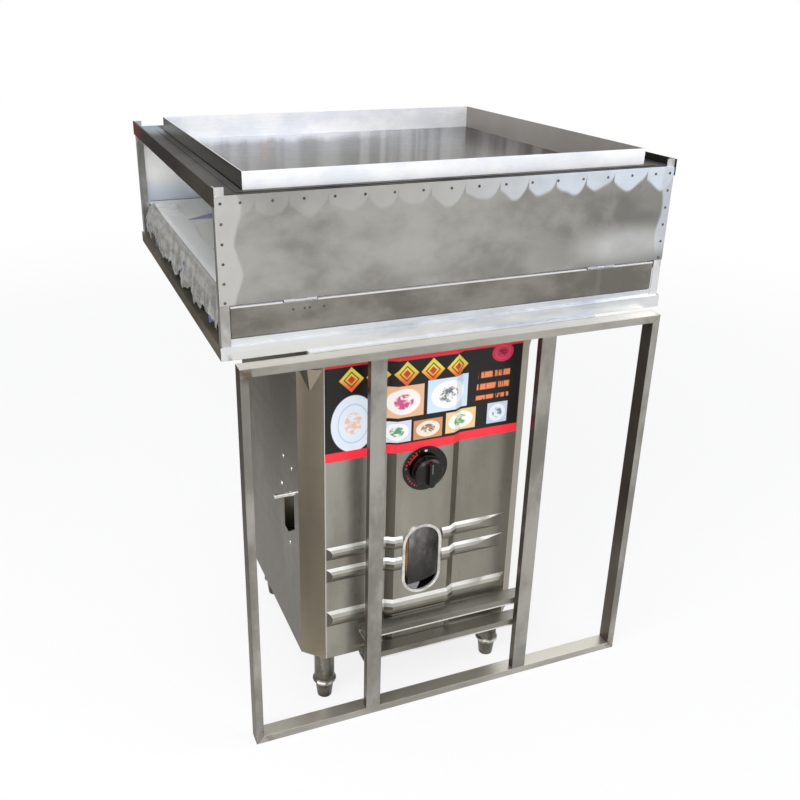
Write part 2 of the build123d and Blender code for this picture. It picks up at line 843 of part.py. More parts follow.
def make_boiler_front():
    """The pressed front: raised middle, three ribs and the holes for window and valve."""
    outline = front_outline()
    left_end, left_base, left_top, right_top, right_base, right_end = outline
    left_start = (left_end[0] + front_seam, boiler_front)
    right_stop = (right_end[0] - front_seam, boiler_front)
    left_tip = left_start[0] + rib_end_gap
    right_tip = right_stop[0] - rib_end_gap
    fade_start = right_base[0] + rib_fade_start
    rim_edge = window_wide / 2 + rim_width + seat_gap
    skin = boiler_sheet
    press = rib_rise - skin
    with BuildPart() as front:
        with BuildSketch(Plane.XY.offset(side_low)):
            with BuildLine():
                fold = Polyline([left_start, left_base, left_top, right_top, right_base, right_stop])
                offset(fold, amount=skin, side=Side.LEFT)
            make_face()
        extrude(amount=side_high - side_low)

        for width, height in zip(rib_widths, rib_heights):
            z = boiler_bottom + height
            through = height == rib_heights[-1]
            # The low rib runs right across; the two upper ones stop beside the window and fade out
            # to the right.
            slopes = [(left_tip + rib_end, left_tip)]
            if through:
                runs = [(left_tip, right_tip)]
                slopes.append((right_tip - rib_end, right_tip))
            else:
                runs = [
                    (left_tip, boiler_x - rim_edge),
                    (boiler_x + rim_edge, fade_start + rib_fade),
                ]
                slopes.append((fade_start, fade_start + rib_fade))
            for first, last in runs:
                rib_run(rib_points(first, last), z, width, rib_rise, seat_gap, Mode.ADD)
            clear_y = boiler_front - rib_rise - seat_gap
            for full, tip in slopes:
                with BuildSketch(Plane.XY.offset(z)) as slope:
                    Polygon((full, clear_y), (tip, boiler_front - rib_tip), (tip, clear_y), align=None)
                extrude(slope.sketch, amount=width, both=True, mode=Mode.SUBTRACT)
            # The inside is hollow between the sloped ends, under one thickness of sheet.
            for first, last in runs:
                first = max(first + skin, left_tip + rib_end)
                last = min(last - skin, slopes[-1][0])
                points = rib_points(first, last)
                rib_run(points, z, width - 4 * skin, press, 2 * skin, Mode.SUBTRACT)

        with BuildSketch(Plane.XZ.offset(-raised_front)):
            with Locations((boiler_x, window_z)):
                SlotOverall(window_tall, window_wide, rotation=90)
            with Locations((boiler_x, knob_z)):
                Circle(spindle_clear)
        extrude(amount=hole_depth, both=True, mode=Mode.SUBTRACT)
    write(front, "boiler_front_panel")

    with BuildPart() as rim:
        with BuildSketch(Plane.XZ.offset(-raised_front)):
            with Locations((boiler_x, window_z)):
                SlotOverall(window_tall + 2 * rim_width, window_wide + 2 * rim_width, rotation=90)
                SlotOverall(window_tall, window_wide, rotation=90, mode=Mode.SUBTRACT)
        extrude(amount=rim_stand)
    write(rim, "window_rim")


def make_boiler_ends():
    """Top plate, bottom plate, back panel and flue collar."""
    half = boiler_width / 2
    left = boiler_x - half
    right = boiler_x + half
    chamfer_back = boiler_front + boiler_chamfer
    out = boiler_chamfer / 2 + corner_fold_out / math.sqrt(2)
    plan = [(left, boiler_back), (left, chamfer_back)]
    peaks = [
        (boiler_x - half + boiler_chamfer - out, boiler_front + boiler_chamfer - out),
        (boiler_x + half - boiler_chamfer + out, boiler_front + boiler_chamfer - out),
    ]
    top_plan = plan + [peaks[0]] + front_outline() + [peaks[1], (right, chamfer_back), (right, boiler_back)]
    low_plan = plan + front_outline() + [(right, chamfer_back), (right, boiler_back)]

    with BuildPart() as top:
        with BuildSketch(Plane.XY.offset(side_high)):
            Polygon(*top_plan, align=None)
            with Locations((boiler_x, boiler_y)):
                Circle(neck_radius + neck_gap, mode=Mode.SUBTRACT)
        extrude(amount=boiler_sheet)
    write(top, "boiler_top_plate")

    with BuildPart() as bottom:
        with BuildSketch(Plane.XY.offset(boiler_bottom)):
            Polygon(*low_plan, align=None)
            with Locations((boiler_x, boiler_y)):
                Circle(burner_outer, mode=Mode.SUBTRACT)
        extrude(amount=boiler_sheet)
    write(bottom, "boiler_bottom_plate")

    flue_z = boiler_bottom + flue_height
    with BuildPart() as back:
        block(
            (left + boiler_sheet, right - boiler_sheet),
            (boiler_back - boiler_sheet, boiler_back),
            (side_low, side_high),
        )
        with BuildSketch(Plane.XZ.offset(-boiler_back)):
            with Locations((boiler_x, flue_z)):
                Rectangle(flue_width - 2 * boiler_sheet, flue_tall - 2 * boiler_sheet)
            with Locations(
                (boiler_x, boiler_bottom + inlet_nipple_height),
                (boiler_x, boiler_bottom + drain_nipple_height),
            ):
                Circle(nipple_radius + seat_gap)
        extrude(amount=2 * boiler_sheet, both=True, mode=Mode.SUBTRACT)
    write(back, "boiler_back_panel")

    flue = square_tube(
        (boiler_x - flue_width / 2, boiler_x + flue_width / 2),
        (boiler_back, boiler_back + flue_reach),
        (flue_z - flue_tall / 2, flue_z + flue_tall / 2),
        boiler_sheet,
        axis=1,
    )
    write(flue, "flue_collar")


# ---- gas control ----------------------------------------------------------------------------
def turned(profile, origin_y):
    """Revolve a profile of (radius, distance back) pairs about the knob's axis."""
    with BuildPart() as piece:
        with BuildSketch(Plane(origin=(boiler_x, origin_y, knob_z), x_dir=(1, 0, 0))):
            Polygon(*profile, align=None)
        revolve(axis=Axis((boiler_x, origin_y, knob_z), (0, 1, 0)))
    return piece


def make_control():
    """Bezel, knob, spindle and the plug valve behind the front."""
    bezel = turned(
        [
            (spindle_clear, -bezel_thickness),
            (bezel_radius, -bezel_thickness),
            (bezel_radius, 0),
            (spindle_clear, 0),
        ],
        raised_front,
    )
    write(bezel, "knob_bezel")

    knob_back = raised_front - bezel_thickness - push_travel - 0.5
    bore = spindle_radius + running_gap
    bore_depth = knob_skirt_thickness + knob_depth
    side = knob_back - knob_skirt_thickness
    face = side - knob_depth - knob_face_rise
    with BuildPart() as knob:
        depth = knob_depth + knob_face_rise
        flatted(knob_radius, round_sides, Plane.XZ.offset(-side), (boiler_x, knob_z), depth)
        rim = knob.faces().sort_by(Axis.Y)[0]
        chamfer(rim.edges(), knob_radius - knob_face, knob_rim_depth, reference=rim)
        with Locations((boiler_x, knob_back - knob_skirt_thickness / 2, knob_z)):
            Cylinder(knob_skirt, knob_skirt_thickness, rotation=(90, 0, 0))
        with Locations((boiler_x, knob_back - bore_depth / 2, knob_z)):
            Cylinder(bore, bore_depth, rotation=(90, 0, 0), mode=Mode.SUBTRACT)
        with BuildSketch(Plane.XZ.offset(-face - 1)):
            with Locations((boiler_x, knob_z)):
                grip = Rectangle(grip_width, grip_length)
            chamfer(grip.vertices(), grip_corner)
        extrude(amount=grip_depth - 1, taper=5)
        with BuildSketch(Plane.XZ.offset(-face)):
            with Locations((boiler_x, knob_z)):
                foot = Rectangle(grip_width, grip_length - 2 * grip_corner)
            chamfer(foot.vertices(), grip_corner)
        extrude(amount=2)
    write(knob, "control_knob")

    plug_front = valve_face + 2
    plug_back = valve_face + valve_neck_length + valve_length - valve_cover
    socket_end = plug_front + plug_socket
    spindle_end = socket_end - push_travel - 1
    spindle = turned(
        [
            (0, knob_back - bore_depth + seat_gap),
            (spindle_radius, knob_back - bore_depth + seat_gap),
            (spindle_radius, spindle_end),
            (0, spindle_end),
        ],
        0,
    )
    write(spindle, "valve_spindle")

    plug = turned(
        [
            (spindle_radius + running_gap, plug_front),
            (plug_radius, plug_front),
            (plug_radius, plug_back),
            (0, plug_back),
            (0, socket_end),
            (spindle_radius + running_gap, socket_end),
        ],
        0,
    )
    write(plug, "valve_plug")

    block_front = valve_face + valve_neck_length
    half = valve_size / 2
    with BuildPart() as body:
        with Locations((boiler_x, valve_face + valve_neck_length / 2, knob_z)):
            Cylinder(valve_neck, valve_neck_length, rotation=(90, 0, 0))
        block(
            (boiler_x - half, boiler_x + half),
            (block_front, block_front + valve_length),
            (knob_z - half, knob_z + half),
        )
        bore_middle = (valve_face + plug_back + seat_gap) / 2
        with Locations((boiler_x, bore_middle, knob_z)):
            Cylinder(
                plug_radius + running_gap,
                plug_back + seat_gap - valve_face,
                rotation=(90, 0, 0),
                mode=Mode.SUBTRACT,
            )
    write(body, "valve_body")


def bent_pipe(points, radius, bends):
    """A solid round pipe along straight runs, with each bend in a few short mitred lengths."""
    with BuildLine(mode=Mode.PRIVATE) as path:
        FilletPolyline(*points, radius=bends)
    route = path.wire()
    knots = [route @ 0]
    for edge in route.edges():
        steps = bend_steps if edge.geom_type == GeomType.CIRCLE else 1
        knots += [edge @ ((k + 1) / steps) for k in range(steps)]
    with BuildPart() as pipe:
        with BuildLine() as run:
            Polyline(*knots)
        with BuildSketch(Plane(origin=knots[0], z_dir=route % 0)):
            Circle(radius)
        sweep(path=run.wire(), transition=Transition.RIGHT)
    return pipe


def make_pipes():
    """The gas inlet pipe out of the left side and the feed pipe down to the burner."""
    spigot_back = side_x - inlet_reach + spigot_length
    inlet = bent_pipe(
        [
            (spigot_back, inlet_y, inlet_z),
            (side_x + inlet_straight, inlet_y, inlet_z),
            (boiler_x - valve_size / 2 - inlet_run, pipe_y, knob_z),
            (boiler_x - valve_size / 2, pipe_y, knob_z),
        ],
        inlet_radius,
        inlet_bend,
    )
    with inlet:
        with Locations((spigot_back - spigot_length / 2, inlet_y, inlet_z)):
            Cylinder(spigot_radius, spigot_length, rotation=(0, 90, 0))
    write(inlet, "gas_inlet_pipe")

    feed_x = boiler_x + feed_offset
    burner_z = boiler_bottom + burner_height + burner_tall / 2
    feed = bent_pipe(
        [
            (feed_x, pipe_y, knob_z - valve_size / 2),
            (feed_x, pipe_y, burner_z),
            (feed_x, mixer_front - seat_gap, burner_z),
        ],
        feed_radius,
        feed_bend,
    )
    write(feed, "gas_feed_pipe")


# ---- tank, burner and bars ------------------------------------------------------------------
def make_tank():
    """The steam tank with its neck, the ring burner and the bars that carry both."""
    low = boiler_bottom + tank_bottom
    lid = boiler_bottom + tank_lid
    wall = tank_wall
    with BuildPart() as tank:
        with BuildSketch(Plane.XZ.offset(-boiler_y)):
            with Locations((boiler_x, 0)):
                Polygon(
                    (0, low),
                    (tank_radius, low),
                    (tank_radius, lid),
                    (neck_radius, lid),
                    (neck_radius, boiler_top),
                    (neck_radius - wall, boiler_top),
                    (neck_radius - wall, lid - wall),
                    (tank_radius - wall, lid - wall),
                    (tank_radius - wall, low + wall),
                    (0, low + wall),
                    align=None,
                )
        revolve(axis=Axis((boiler_x, boiler_y, 0), (0, 0, 1)))
        nipple_end = boiler_back + nipple_reach
        root = boiler_y + tank_radius - wall
        for height in (inlet_nipple_height, drain_nipple_height):
            with Locations((boiler_x, (root + nipple_end) / 2, boiler_bottom + height)):
                Cylinder(nipple_radius, nipple_end - root, rotation=(90, 0, 0))
        for height in (inlet_nipple_height, drain_nipple_height):
            with Locations((boiler_x, (root + nipple_end) / 2, boiler_bottom + height)):
                Cylinder(
                    nipple_radius - wall,
                    nipple_end - root + 2 * wall,
                    rotation=(90, 0, 0),
                    mode=Mode.SUBTRACT,
                )
    write(tank, "water_tank")

    burner_z = boiler_bottom + burner_height
    middle = (burner_outer + burner_inner) / 2
    with BuildPart() as burner:
        with BuildSketch(Plane.XY.offset(burner_z)):
            with Locations((boiler_x, boiler_y)):
                Circle(burner_outer)
                Circle(burner_inner, mode=Mode.SUBTRACT)
        extrude(amount=burner_tall)
        mixer_x = boiler_x + feed_offset
        mixer_back = boiler_y - burner_outer + mixer_overlap
        mixer_middle = (mixer_front + mixer_back) / 2
        with Locations((mixer_x, mixer_middle, burner_z + burner_tall / 2)):
            Cylinder(mixer_radius, mixer_back - mixer_front, rotation=(90, 0, 0))
        with Locations((boiler_x, boiler_y, burner_z + burner_tall)):
            with PolarLocations(middle, burner_ports):
                Box(port_length, port_width, burner_tall, mode=Mode.SUBTRACT)
    write(burner, "burner")

    bar_half = boiler_width / 2 - boiler_sheet
    bars = [
        (boiler_y, burner_z),
        (boiler_y - tank_bar_offset, low),
        (boiler_y + tank_bar_offset, low),
    ]
    with BuildPart() as cross_bars:
        for y, top in bars:
            block(
                (boiler_x - bar_half, boiler_x + bar_half),
                (y - bar_width / 2, y + bar_width / 2),
                (top - bar_thickness, top),
            )
    write(cross_bars, "boiler_cross_bars")


# ---- feet -----------------------------------------------------------------------------------
def make_feet():
    """Leg tubes under the boiler and the adjustable feet that screw into them."""
    spots = {
        "front_left": (boiler_x - foot_spacing / 2, boiler_front + foot_inset),
        "front_right": (boiler_x + foot_spacing / 2, boiler_front + foot_inset),
        "back_left": (boiler_x - foot_spacing / 2, boiler_back - foot_inset),
        "back_right": (boiler_x + foot_spacing / 2, boiler_back - foot_inset),
    }
    bore = stem_radius + running_gap
    lip_top = socket_low + lip_slope
    flare_top = lip_top + flare_height
    flare_tall = lip_slope + flare_height + flare_slope
    with BuildPart() as socket:
        flatted(socket_flare, foot_sides, Plane.XY.offset(socket_low), (0, 0), flare_tall)
        lip = socket.faces().sort_by(Axis.Z)[0]
        chamfer(lip.edges(), socket_flare - socket_lip, lip_slope, reference=lip)
        shoulder = socket.faces().sort_by(Axis.Z)[-1]
        chamfer(shoulder.edges(), socket_flare - socket_radius, flare_slope, reference=shoulder)
        with Locations((0, 0, (flare_top + boiler_bottom) / 2)):
            Cylinder(socket_radius, boiler_bottom - flare_top)
        with Locations((0, 0, boiler_bottom / 2)):
            Cylinder(bore, boiler_bottom, mode=Mode.SUBTRACT)
    with BuildPart() as legs:
        with Locations([(x, y, 0) for x, y in spots.values()]):
            add(socket.part)
    write(legs, "leg_sockets")

    for name, (x, y) in spots.items():
        foot_top = socket_low - seat_gap
        with BuildPart() as foot:
            flatted(foot_top_radius, foot_sides, Plane.XY, (x, y), foot_top)
            sole = foot.faces().sort_by(Axis.Z)[0]
            chamfer(sole.edges(), foot_top_radius - foot_low_radius, foot_slope, reference=sole)
            with Locations((x, y, (foot_top + stem_top) / 2)):
                Cylinder(stem_radius, stem_top - foot_top)
        write(foot, f"foot_{name}")


os.makedirs("parts", exist_ok=True)
make_stand()
make_base_rails()
make_posts()
make_top_rails()
make_panels()
make_rivets()
make_flap()
make_deck()
make_tray()
make_film()
make_boiler_sides()
make_boiler_front()
make_boiler_ends()
make_control()
make_pipes()
make_tank()
make_feet()
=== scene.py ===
import math

import bpy
from mathutils import Matrix, Vector, noise


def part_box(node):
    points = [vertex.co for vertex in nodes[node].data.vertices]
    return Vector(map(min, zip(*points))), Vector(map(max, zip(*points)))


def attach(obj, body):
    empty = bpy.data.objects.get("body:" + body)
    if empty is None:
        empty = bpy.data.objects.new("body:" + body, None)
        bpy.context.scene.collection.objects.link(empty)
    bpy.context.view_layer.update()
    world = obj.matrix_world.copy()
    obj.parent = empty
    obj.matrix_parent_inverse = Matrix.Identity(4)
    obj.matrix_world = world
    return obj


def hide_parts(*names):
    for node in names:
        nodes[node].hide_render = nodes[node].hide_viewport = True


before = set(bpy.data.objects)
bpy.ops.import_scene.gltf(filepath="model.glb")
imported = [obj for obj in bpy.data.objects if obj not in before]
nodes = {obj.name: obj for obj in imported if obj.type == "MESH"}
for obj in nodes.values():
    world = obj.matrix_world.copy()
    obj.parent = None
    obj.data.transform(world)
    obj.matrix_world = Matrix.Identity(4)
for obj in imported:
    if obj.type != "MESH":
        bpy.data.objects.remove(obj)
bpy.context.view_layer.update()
scene = bpy.context.scene


# ---------------------------------------------------------------------------------- camera
EYE = (-0.7184, -1.7631, 1.3476)
YAW, PITCH, ROLL = 21.29, 22.95, -0.57  # degrees
LENS = 40.66
SHIFT = (0.0490, -0.0271)


def make_camera():
    """The photograph's view, solved from the straight edges of the stand and the cabinet."""
    yaw, pitch, roll = (math.radians(a) for a in (YAW, PITCH, ROLL))
    ahead = math.cos(pitch)
    forward = Vector((math.sin(yaw) * ahead, math.cos(yaw) * ahead, -math.sin(pitch)))
    level = Vector((math.cos(yaw), -math.sin(yaw), 0))
    down = forward.cross(level)
    right = level * math.cos(roll) + down * math.sin(roll)
    up = -(down * math.cos(roll) - level * math.sin(roll))
    data = bpy.data.cameras.new("camera")
    data.lens = LENS
    data.shift_x, data.shift_y = SHIFT
    camera = bpy.data.objects.new("camera", data)
    basis = Matrix((right, up, -forward)).transposed().to_4x4()
    camera.matrix_world = Matrix.Translation(EYE) @ basis
    scene.collection.objects.link(camera)
    scene.camera = camera


# ---------------------------------------------------------------------------------- shading
def rgb(red, green, blue):
    """A display colour, 0 to 255, as the linear colour that shaders take."""
    linear = []
    for channel in (red, green, blue):
        c = channel / 255
        linear.append(c / 12.92 if c <= 0.04045 else ((c + 0.055) / 1.055) ** 2.4)
    return (*linear, 1.0)


class Nodes:
    """Adds nodes to a tree. Values may be numbers, colours or node outputs."""

    def __init__(self, tree):
        self.tree = tree

    def add(self, kind):
        return self.tree.nodes.new(kind)

    def link(self, value, socket):
        if isinstance(value, bpy.types.NodeSocket):
            self.tree.links.new(value, socket)
        elif value is not None:
            socket.default_value = value

    def math(self, operation, a, b=None, clamp=False):
        node = self.add("ShaderNodeMath")
        node.operation = operation
        node.use_clamp = clamp
        self.link(a, node.inputs[0])
        self.link(b, node.inputs[1])
        return node.outputs[0]

    def sum(self, *values):
        total = values[0]
        for value in values[1:]:
            total = self.math("ADD", total, value)
        return total

    def times(self, *values):
        total = values[0]
        for value in values[1:]:
            total = self.math("MULTIPLY", total, value)
        return total

    def minus(self, a, b):
        return self.math("SUBTRACT", a, b)

    def over(self, a, b):
        return self.math("DIVIDE", a, b)

    def larger(self, a, b):
        return self.math("MAXIMUM", a, b)

    def absolute(self, value):
        return self.math("ABSOLUTE", value)

    def length(self, a, b):
        """The length of a vector with two components."""
        return self.math("SQRT", self.sum(self.times(a, a), self.times(b, b)))

    def flip(self, value):
        return self.minus(1.0, value)

    def ramp(self, value, low, high):
        """Smoothly 0 below low and 1 above high."""
        node = self.add("ShaderNodeMapRange")
        node.interpolation_type = "SMOOTHSTEP"
        self.link(value, node.inputs["Value"])
        node.inputs["From Min"].default_value = low
        node.inputs["From Max"].default_value = high
        return node.outputs["Result"]

    def fall(self, value, low, high):
        """Smoothly 1 below low and 0 above high."""
        return self.flip(self.ramp(value, low, high))

    def band(self, value, low, high, soft):
        """1 between low and high, fading to 0 over soft at both ends."""
        rise = self.ramp(value, low - soft, low + soft)
        return self.times(rise, self.fall(value, high - soft, high + soft))

    def spread(self, value, low, high):
        """A 0 to 1 value spread to the range low to high."""
        node = self.add("ShaderNodeMapRange")
        self.link(value, node.inputs["Value"])
        node.inputs["To Min"].default_value = low
        node.inputs["To Max"].default_value = high
        return node.outputs["Result"]

    def mix(self, a, b, factor):
        node = self.add("ShaderNodeMix")
        node.data_type = "RGBA"
        self.link(factor, node.inputs["Factor"])
        self.link(a, node.inputs["A"])
        self.link(b, node.inputs["B"])
        return node.outputs["Result"]

    def axes(self, vector):
        split = self.add("ShaderNodeSeparateXYZ")
        self.link(vector, split.inputs[0])
        return split.outputs


class Graph(Nodes):
    """One material's nodes, with the place and facing of the surface ready to use."""

    def __init__(self, name):
        self.material = bpy.data.materials.new(name)
        self.material.use_nodes = True
        super().__init__(self.material.node_tree)
        self.shader = self.tree.nodes["Principled BSDF"]
        self.place = self.add("ShaderNodeTexCoord").outputs["Object"]
        self.x, self.y, self.z = self.axes(self.place)
        self.nx, self.ny, self.nz = self.axes(self.add("ShaderNodeNewGeometry").outputs["Normal"])

    def stretched(self, scale, shift):
        node = self.add("ShaderNodeMapping")
        self.link(self.place, node.inputs["Vector"])
        node.inputs["Scale"].default_value = scale
        node.inputs["Location"].default_value = shift
        return node.outputs[0]

    def noise(self, scale, detail=4, rough=0.6, shift=(0, 0, 0)):
        """Noise from 0 to 1 with scale features to the metre along each axis."""
        node = self.add("ShaderNodeTexNoise")
        self.link(self.stretched(scale, shift), node.inputs["Vector"])
        node.inputs["Scale"].default_value = 1.0
        node.inputs["Detail"].default_value = detail
        node.inputs["Roughness"].default_value = rough
        return node.outputs["Fac"]

    def away(self, middle, reach):
        """Distance from a point, in shares of reach, in the plane of the axes that have one."""
        gaps = [
            self.over(self.minus(value, centre), far)
            for value, centre, far in zip((self.x, self.y, self.z), middle, reach)
            if far
        ]
        return self.length(*gaps)

    def bump(self, height, strength, distance, below=None):
        node = self.add("ShaderNodeBump")
        node.inputs["Strength"].default_value = strength
        node.inputs["Distance"].default_value = distance
        self.link(height, node.inputs["Height"])
        if below is not None:
            self.link(below, node.inputs["Normal"])
        return node.outputs[0]

    def rounded(self, radius):
        node = self.add("ShaderNodeBevel")
        node.samples = 4
        node.inputs["Radius"].default_value = radius
        return node.outputs[0]

    def finish(self, colour, roughness, metallic, normal=None, **fixed):
        self.link(colour, self.shader.inputs["Base Color"])
        self.link(roughness, self.shader.inputs["Roughness"])
        self.link(metallic, self.shader.inputs["Metallic"])
        if normal is not None:
            self.link(normal, self.shader.inputs["Normal"])
        for name, value in fixed.items():
            self.shader.inputs[name.replace("_", " ")].default_value = value
        return self.material


# Scratches to the metre along each axis, for each direction of the brush.
BRUSH = {
    "x": (5, 420, 420),
    "y": (420, 5, 420),
    "z": (420, 420, 5),
}
PATCHES = (38, 38, 38)
PATCH_GAIN = 0.05
PATCH_ROUGH = 0.06
STREAK_ROUGH = 0.07


def steel(name, dark, light, along, blotch, rough=0.34, grain=0.07, metallic=0.85, shade=None,
          edge=0.0008, shine=0.5):
    """Brushed or rolled metal. shade(graph, colour) may add what is local to a piece."""
    g = Graph(name)
    cloud = g.ramp(g.noise(blotch, 5), 0.38, 0.62)
    streak = g.noise(BRUSH[along], 5, 0.7)
    patch = g.noise(PATCHES, 6, 0.65, (3, 1, 7))
    colour = g.mix(dark, light, cloud)
    gain = g.sum(g.spread(streak, -grain, grain), g.spread(patch, -PATCH_GAIN, PATCH_GAIN), 1.0)
    bright = g.add("ShaderNodeVectorMath")
    bright.operation = "SCALE"
    if shade:
        colour = shade(g, colour)
    g.link(colour, bright.inputs[0])
    g.link(gain, bright.inputs["Scale"])
    roughness = g.sum(g.spread(streak, rough - STREAK_ROUGH, rough + STREAK_ROUGH),
                      g.spread(patch, -PATCH_ROUGH, PATCH_ROUGH))
    height = g.sum(g.times(streak, 0.5), g.times(patch, 0.5))
    normal = g.bump(height, 0.12, 0.0004, g.rounded(edge))
    return g.finish(bright.outputs[0], roughness, metallic, normal, Specular_IOR_Level=shine)


def dress(material, *names):
    """Give CAD nodes a finish."""
    for name in names:
        slots = nodes[name].data.materials
        slots.clear()
        slots.append(material)


# ---- sheet metal of the cabinet
PANEL_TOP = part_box("front_panel")[1][2]
PANEL_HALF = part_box("front_panel")[1][0]


def front_panel_shade(g, colour):
    """Polished bands along the riveted edges, scalloped where the grinding disc turned, with
    painted sky reflection and a painted highlight.
    """
    pitch = 0.061  # from one scallop to the next
    turned = 0.45  # share of a scallop before the disc's quarter turn
    low_deep, high_deep = 0.016, 0.056
    soft = 0.003
    wave = g.noise((14, 1, 20), 3, 0.5, (5, 0, 2))
    slow = g.noise((7, 1, 0), 2, 0.5, (9, 0, 0))
    run = g.sum(g.x, g.spread(slow, -0.03, 0.03), 20 * pitch)
    phase = g.math("FRACT", g.over(run, pitch))
    # A scallop deepens to the right and then ends in a quarter turn of the disc.
    end = g.larger(g.over(g.minus(phase, turned), 1 - turned), 0.0)
    arc = g.math("SQRT", g.larger(g.flip(g.times(end, end)), 0.0))
    rise = g.ramp(phase, -0.3, turned)
    size = g.spread(g.noise((16, 0, 0), 1, 0.5, (2, 0, 0)), low_deep, high_deep)
    deep = g.times(size, arc, g.spread(rise, 0.35, 1.0))
    scallop = g.ramp(g.minus(deep, g.minus(PANEL_TOP, g.z)), -0.005, soft)
    strength = g.sum(0.3, g.times(g.ramp(g.x, -0.3, 0.15), 0.7))
    # The upright bands at the two ends ripple with the height.
    ripple = g.times(g.math("SINE", g.times(g.z, 62.0)), 0.006)
    reach = g.sum(0.034, ripple, g.spread(wave, -0.009, 0.009))
    beside = g.minus(PANEL_HALF, g.absolute(g.x))
    left = g.times(g.ramp(g.minus(reach, beside), -soft, soft), g.fall(g.x, 0, 0.1))
    right = g.ramp(g.minus(g.times(reach, 0.6), beside), -soft, soft)
    right = g.times(right, g.ramp(g.x, 0, 0.1), g.ramp(g.z, 0.885, 0.935))
    colour = g.mix(colour, rgb(122, 121, 117), g.times(g.ramp(g.x, 0.0, 0.36), 0.6))
    # The polished scallops and end bands are painted brighter, turning bluish to the right:
    # painted sky reflection.
    polish_and_sky_reflection = g.mix(rgb(206, 206, 204), rgb(226, 236, 250), g.ramp(g.x, -0.1, 0.3))
    colour = g.mix(colour, polish_and_sky_reflection, g.times(scallop, strength))
    colour = g.mix(colour, rgb(214, 214, 212), g.times(left, 0.85))
    colour = g.mix(colour, rgb(214, 222, 234), g.times(right, 0.8))
    # A painted highlight at the upper right.
    glare = g.fall(g.away((0.34, 0, 0.925), (0.15, 0, 0.05)), 0.2, 1.0)
    colour = g.mix(colour, rgb(236, 238, 240), g.times(glare, g.spread(wave, 0.25, 0.9)))
    blot = g.ramp(g.noise((11, 1, 11), 4, 0.55, (3, 0, 8)), 0.55, 0.72)
    return g.mix(colour, rgb(196, 196, 192), g.times(blot, 0.3))


def flap_shade(g, colour):
    """Faint upright scratches, small dark marks at the upper left and a painted highlight along
    the top edge.
    """
    mark_radius, mark_drop = 0.0022, 0.0155
    lines = g.ramp(g.noise((9, 0, 0), 2, 0.9, (3, 0, 0)), 0.62, 0.66)
    colour = g.mix(colour, rgb(150, 148, 144), g.times(lines, 0.35))
    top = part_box("flap_door")[1][2]
    for x in (-0.307, -0.287, -0.278, -0.253):
        gap = g.away((x, 0, top - mark_drop), (mark_radius, 0, mark_radius))
        colour = g.mix(colour, rgb(74, 70, 66), g.times(g.fall(gap, 0.7, 1.2), 0.8))
    # Painted highlight along the top edge.
    return g.mix(colour, rgb(250, 250, 250), g.ramp(g.z, top - 0.0035, top - 0.0025))


def tray_shade(g, colour):
    """Painted reflections streaking the mirror floor, white walls, a darker right wall inside and
    painted shadow on the dark left side.
    """
    low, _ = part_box("tray")
    floor = g.times(g.ramp(g.nz, 0.6, 0.8), g.fall(g.z, low[2] + 0.004, low[2] + 0.006))
    # The streaks are a painted reflection of upright things behind the tray, so they run out from
    # the front left.
    start_x, start_y = -0.72, -1.76
    turn = g.math("ARCTAN2", g.minus(g.x, start_x), g.minus(g.y, start_y))
    spokes = g.add("ShaderNodeTexNoise")
    spokes.noise_dimensions = "1D"
    g.link(g.times(turn, 46.0), spokes.inputs["W"])
    spokes.inputs["Scale"].default_value = 1.0
    spokes.inputs["Detail"].default_value = 4
    reflected_streaks = spokes.outputs["Fac"]
    patches = g.noise((4, 3, 1), 4, 0.5, (8, 1, 0))
    painted_reflection = g.mix(rgb(18, 16, 14), rgb(118, 118, 118), g.ramp(reflected_streaks, 0.40, 0.60))
    # A paler painted reflection on the left of the floor.
    pale_reflection = g.fall(g.away((-0.25, -0.05, 0), (0.22, 0.3, 0)), 0.2, 1.0)
    painted_reflection = g.mix(painted_reflection, rgb(132, 134, 136), g.times(pale_reflection, 0.3))
    # A painted red reflection in the floor.
    red = g.times(g.band(turn, 0.262, 0.272, 0.004), g.ramp(g.y, -0.1, 0.1))
    painted_reflection = g.mix(painted_reflection, rgb(120, 50, 48), g.times(red, 0.6))
    # A painted reflection of the white back wall in the floor in front of it.
    again = g.ramp(g.sum(g.y, g.spread(reflected_streaks, -0.05, 0.05)), 0.18, 0.32)
    painted_reflection = g.mix(painted_reflection, rgb(226, 230, 238), g.times(again, g.fall(g.x, -0.1, 0.3), 0.9))
    to_left = g.fall(g.nx, -0.8, -0.6)
    inner_right = g.times(to_left, g.ramp(g.x, 0.3, 0.35))
    colour = g.mix(colour, g.mix(rgb(104, 94, 86), rgb(186, 182, 176), patches), inner_right)
    # Painted shadow on the outer left side.
    outer_left = g.times(to_left, g.fall(g.x, -0.3, -0.25))
    shadow = g.mix(rgb(42, 40, 36), rgb(104, 100, 94), g.ramp(g.y, -0.3, 0.3))
    colour = g.mix(colour, shadow, outer_left)
    return g.mix(colour, painted_reflection, floor)


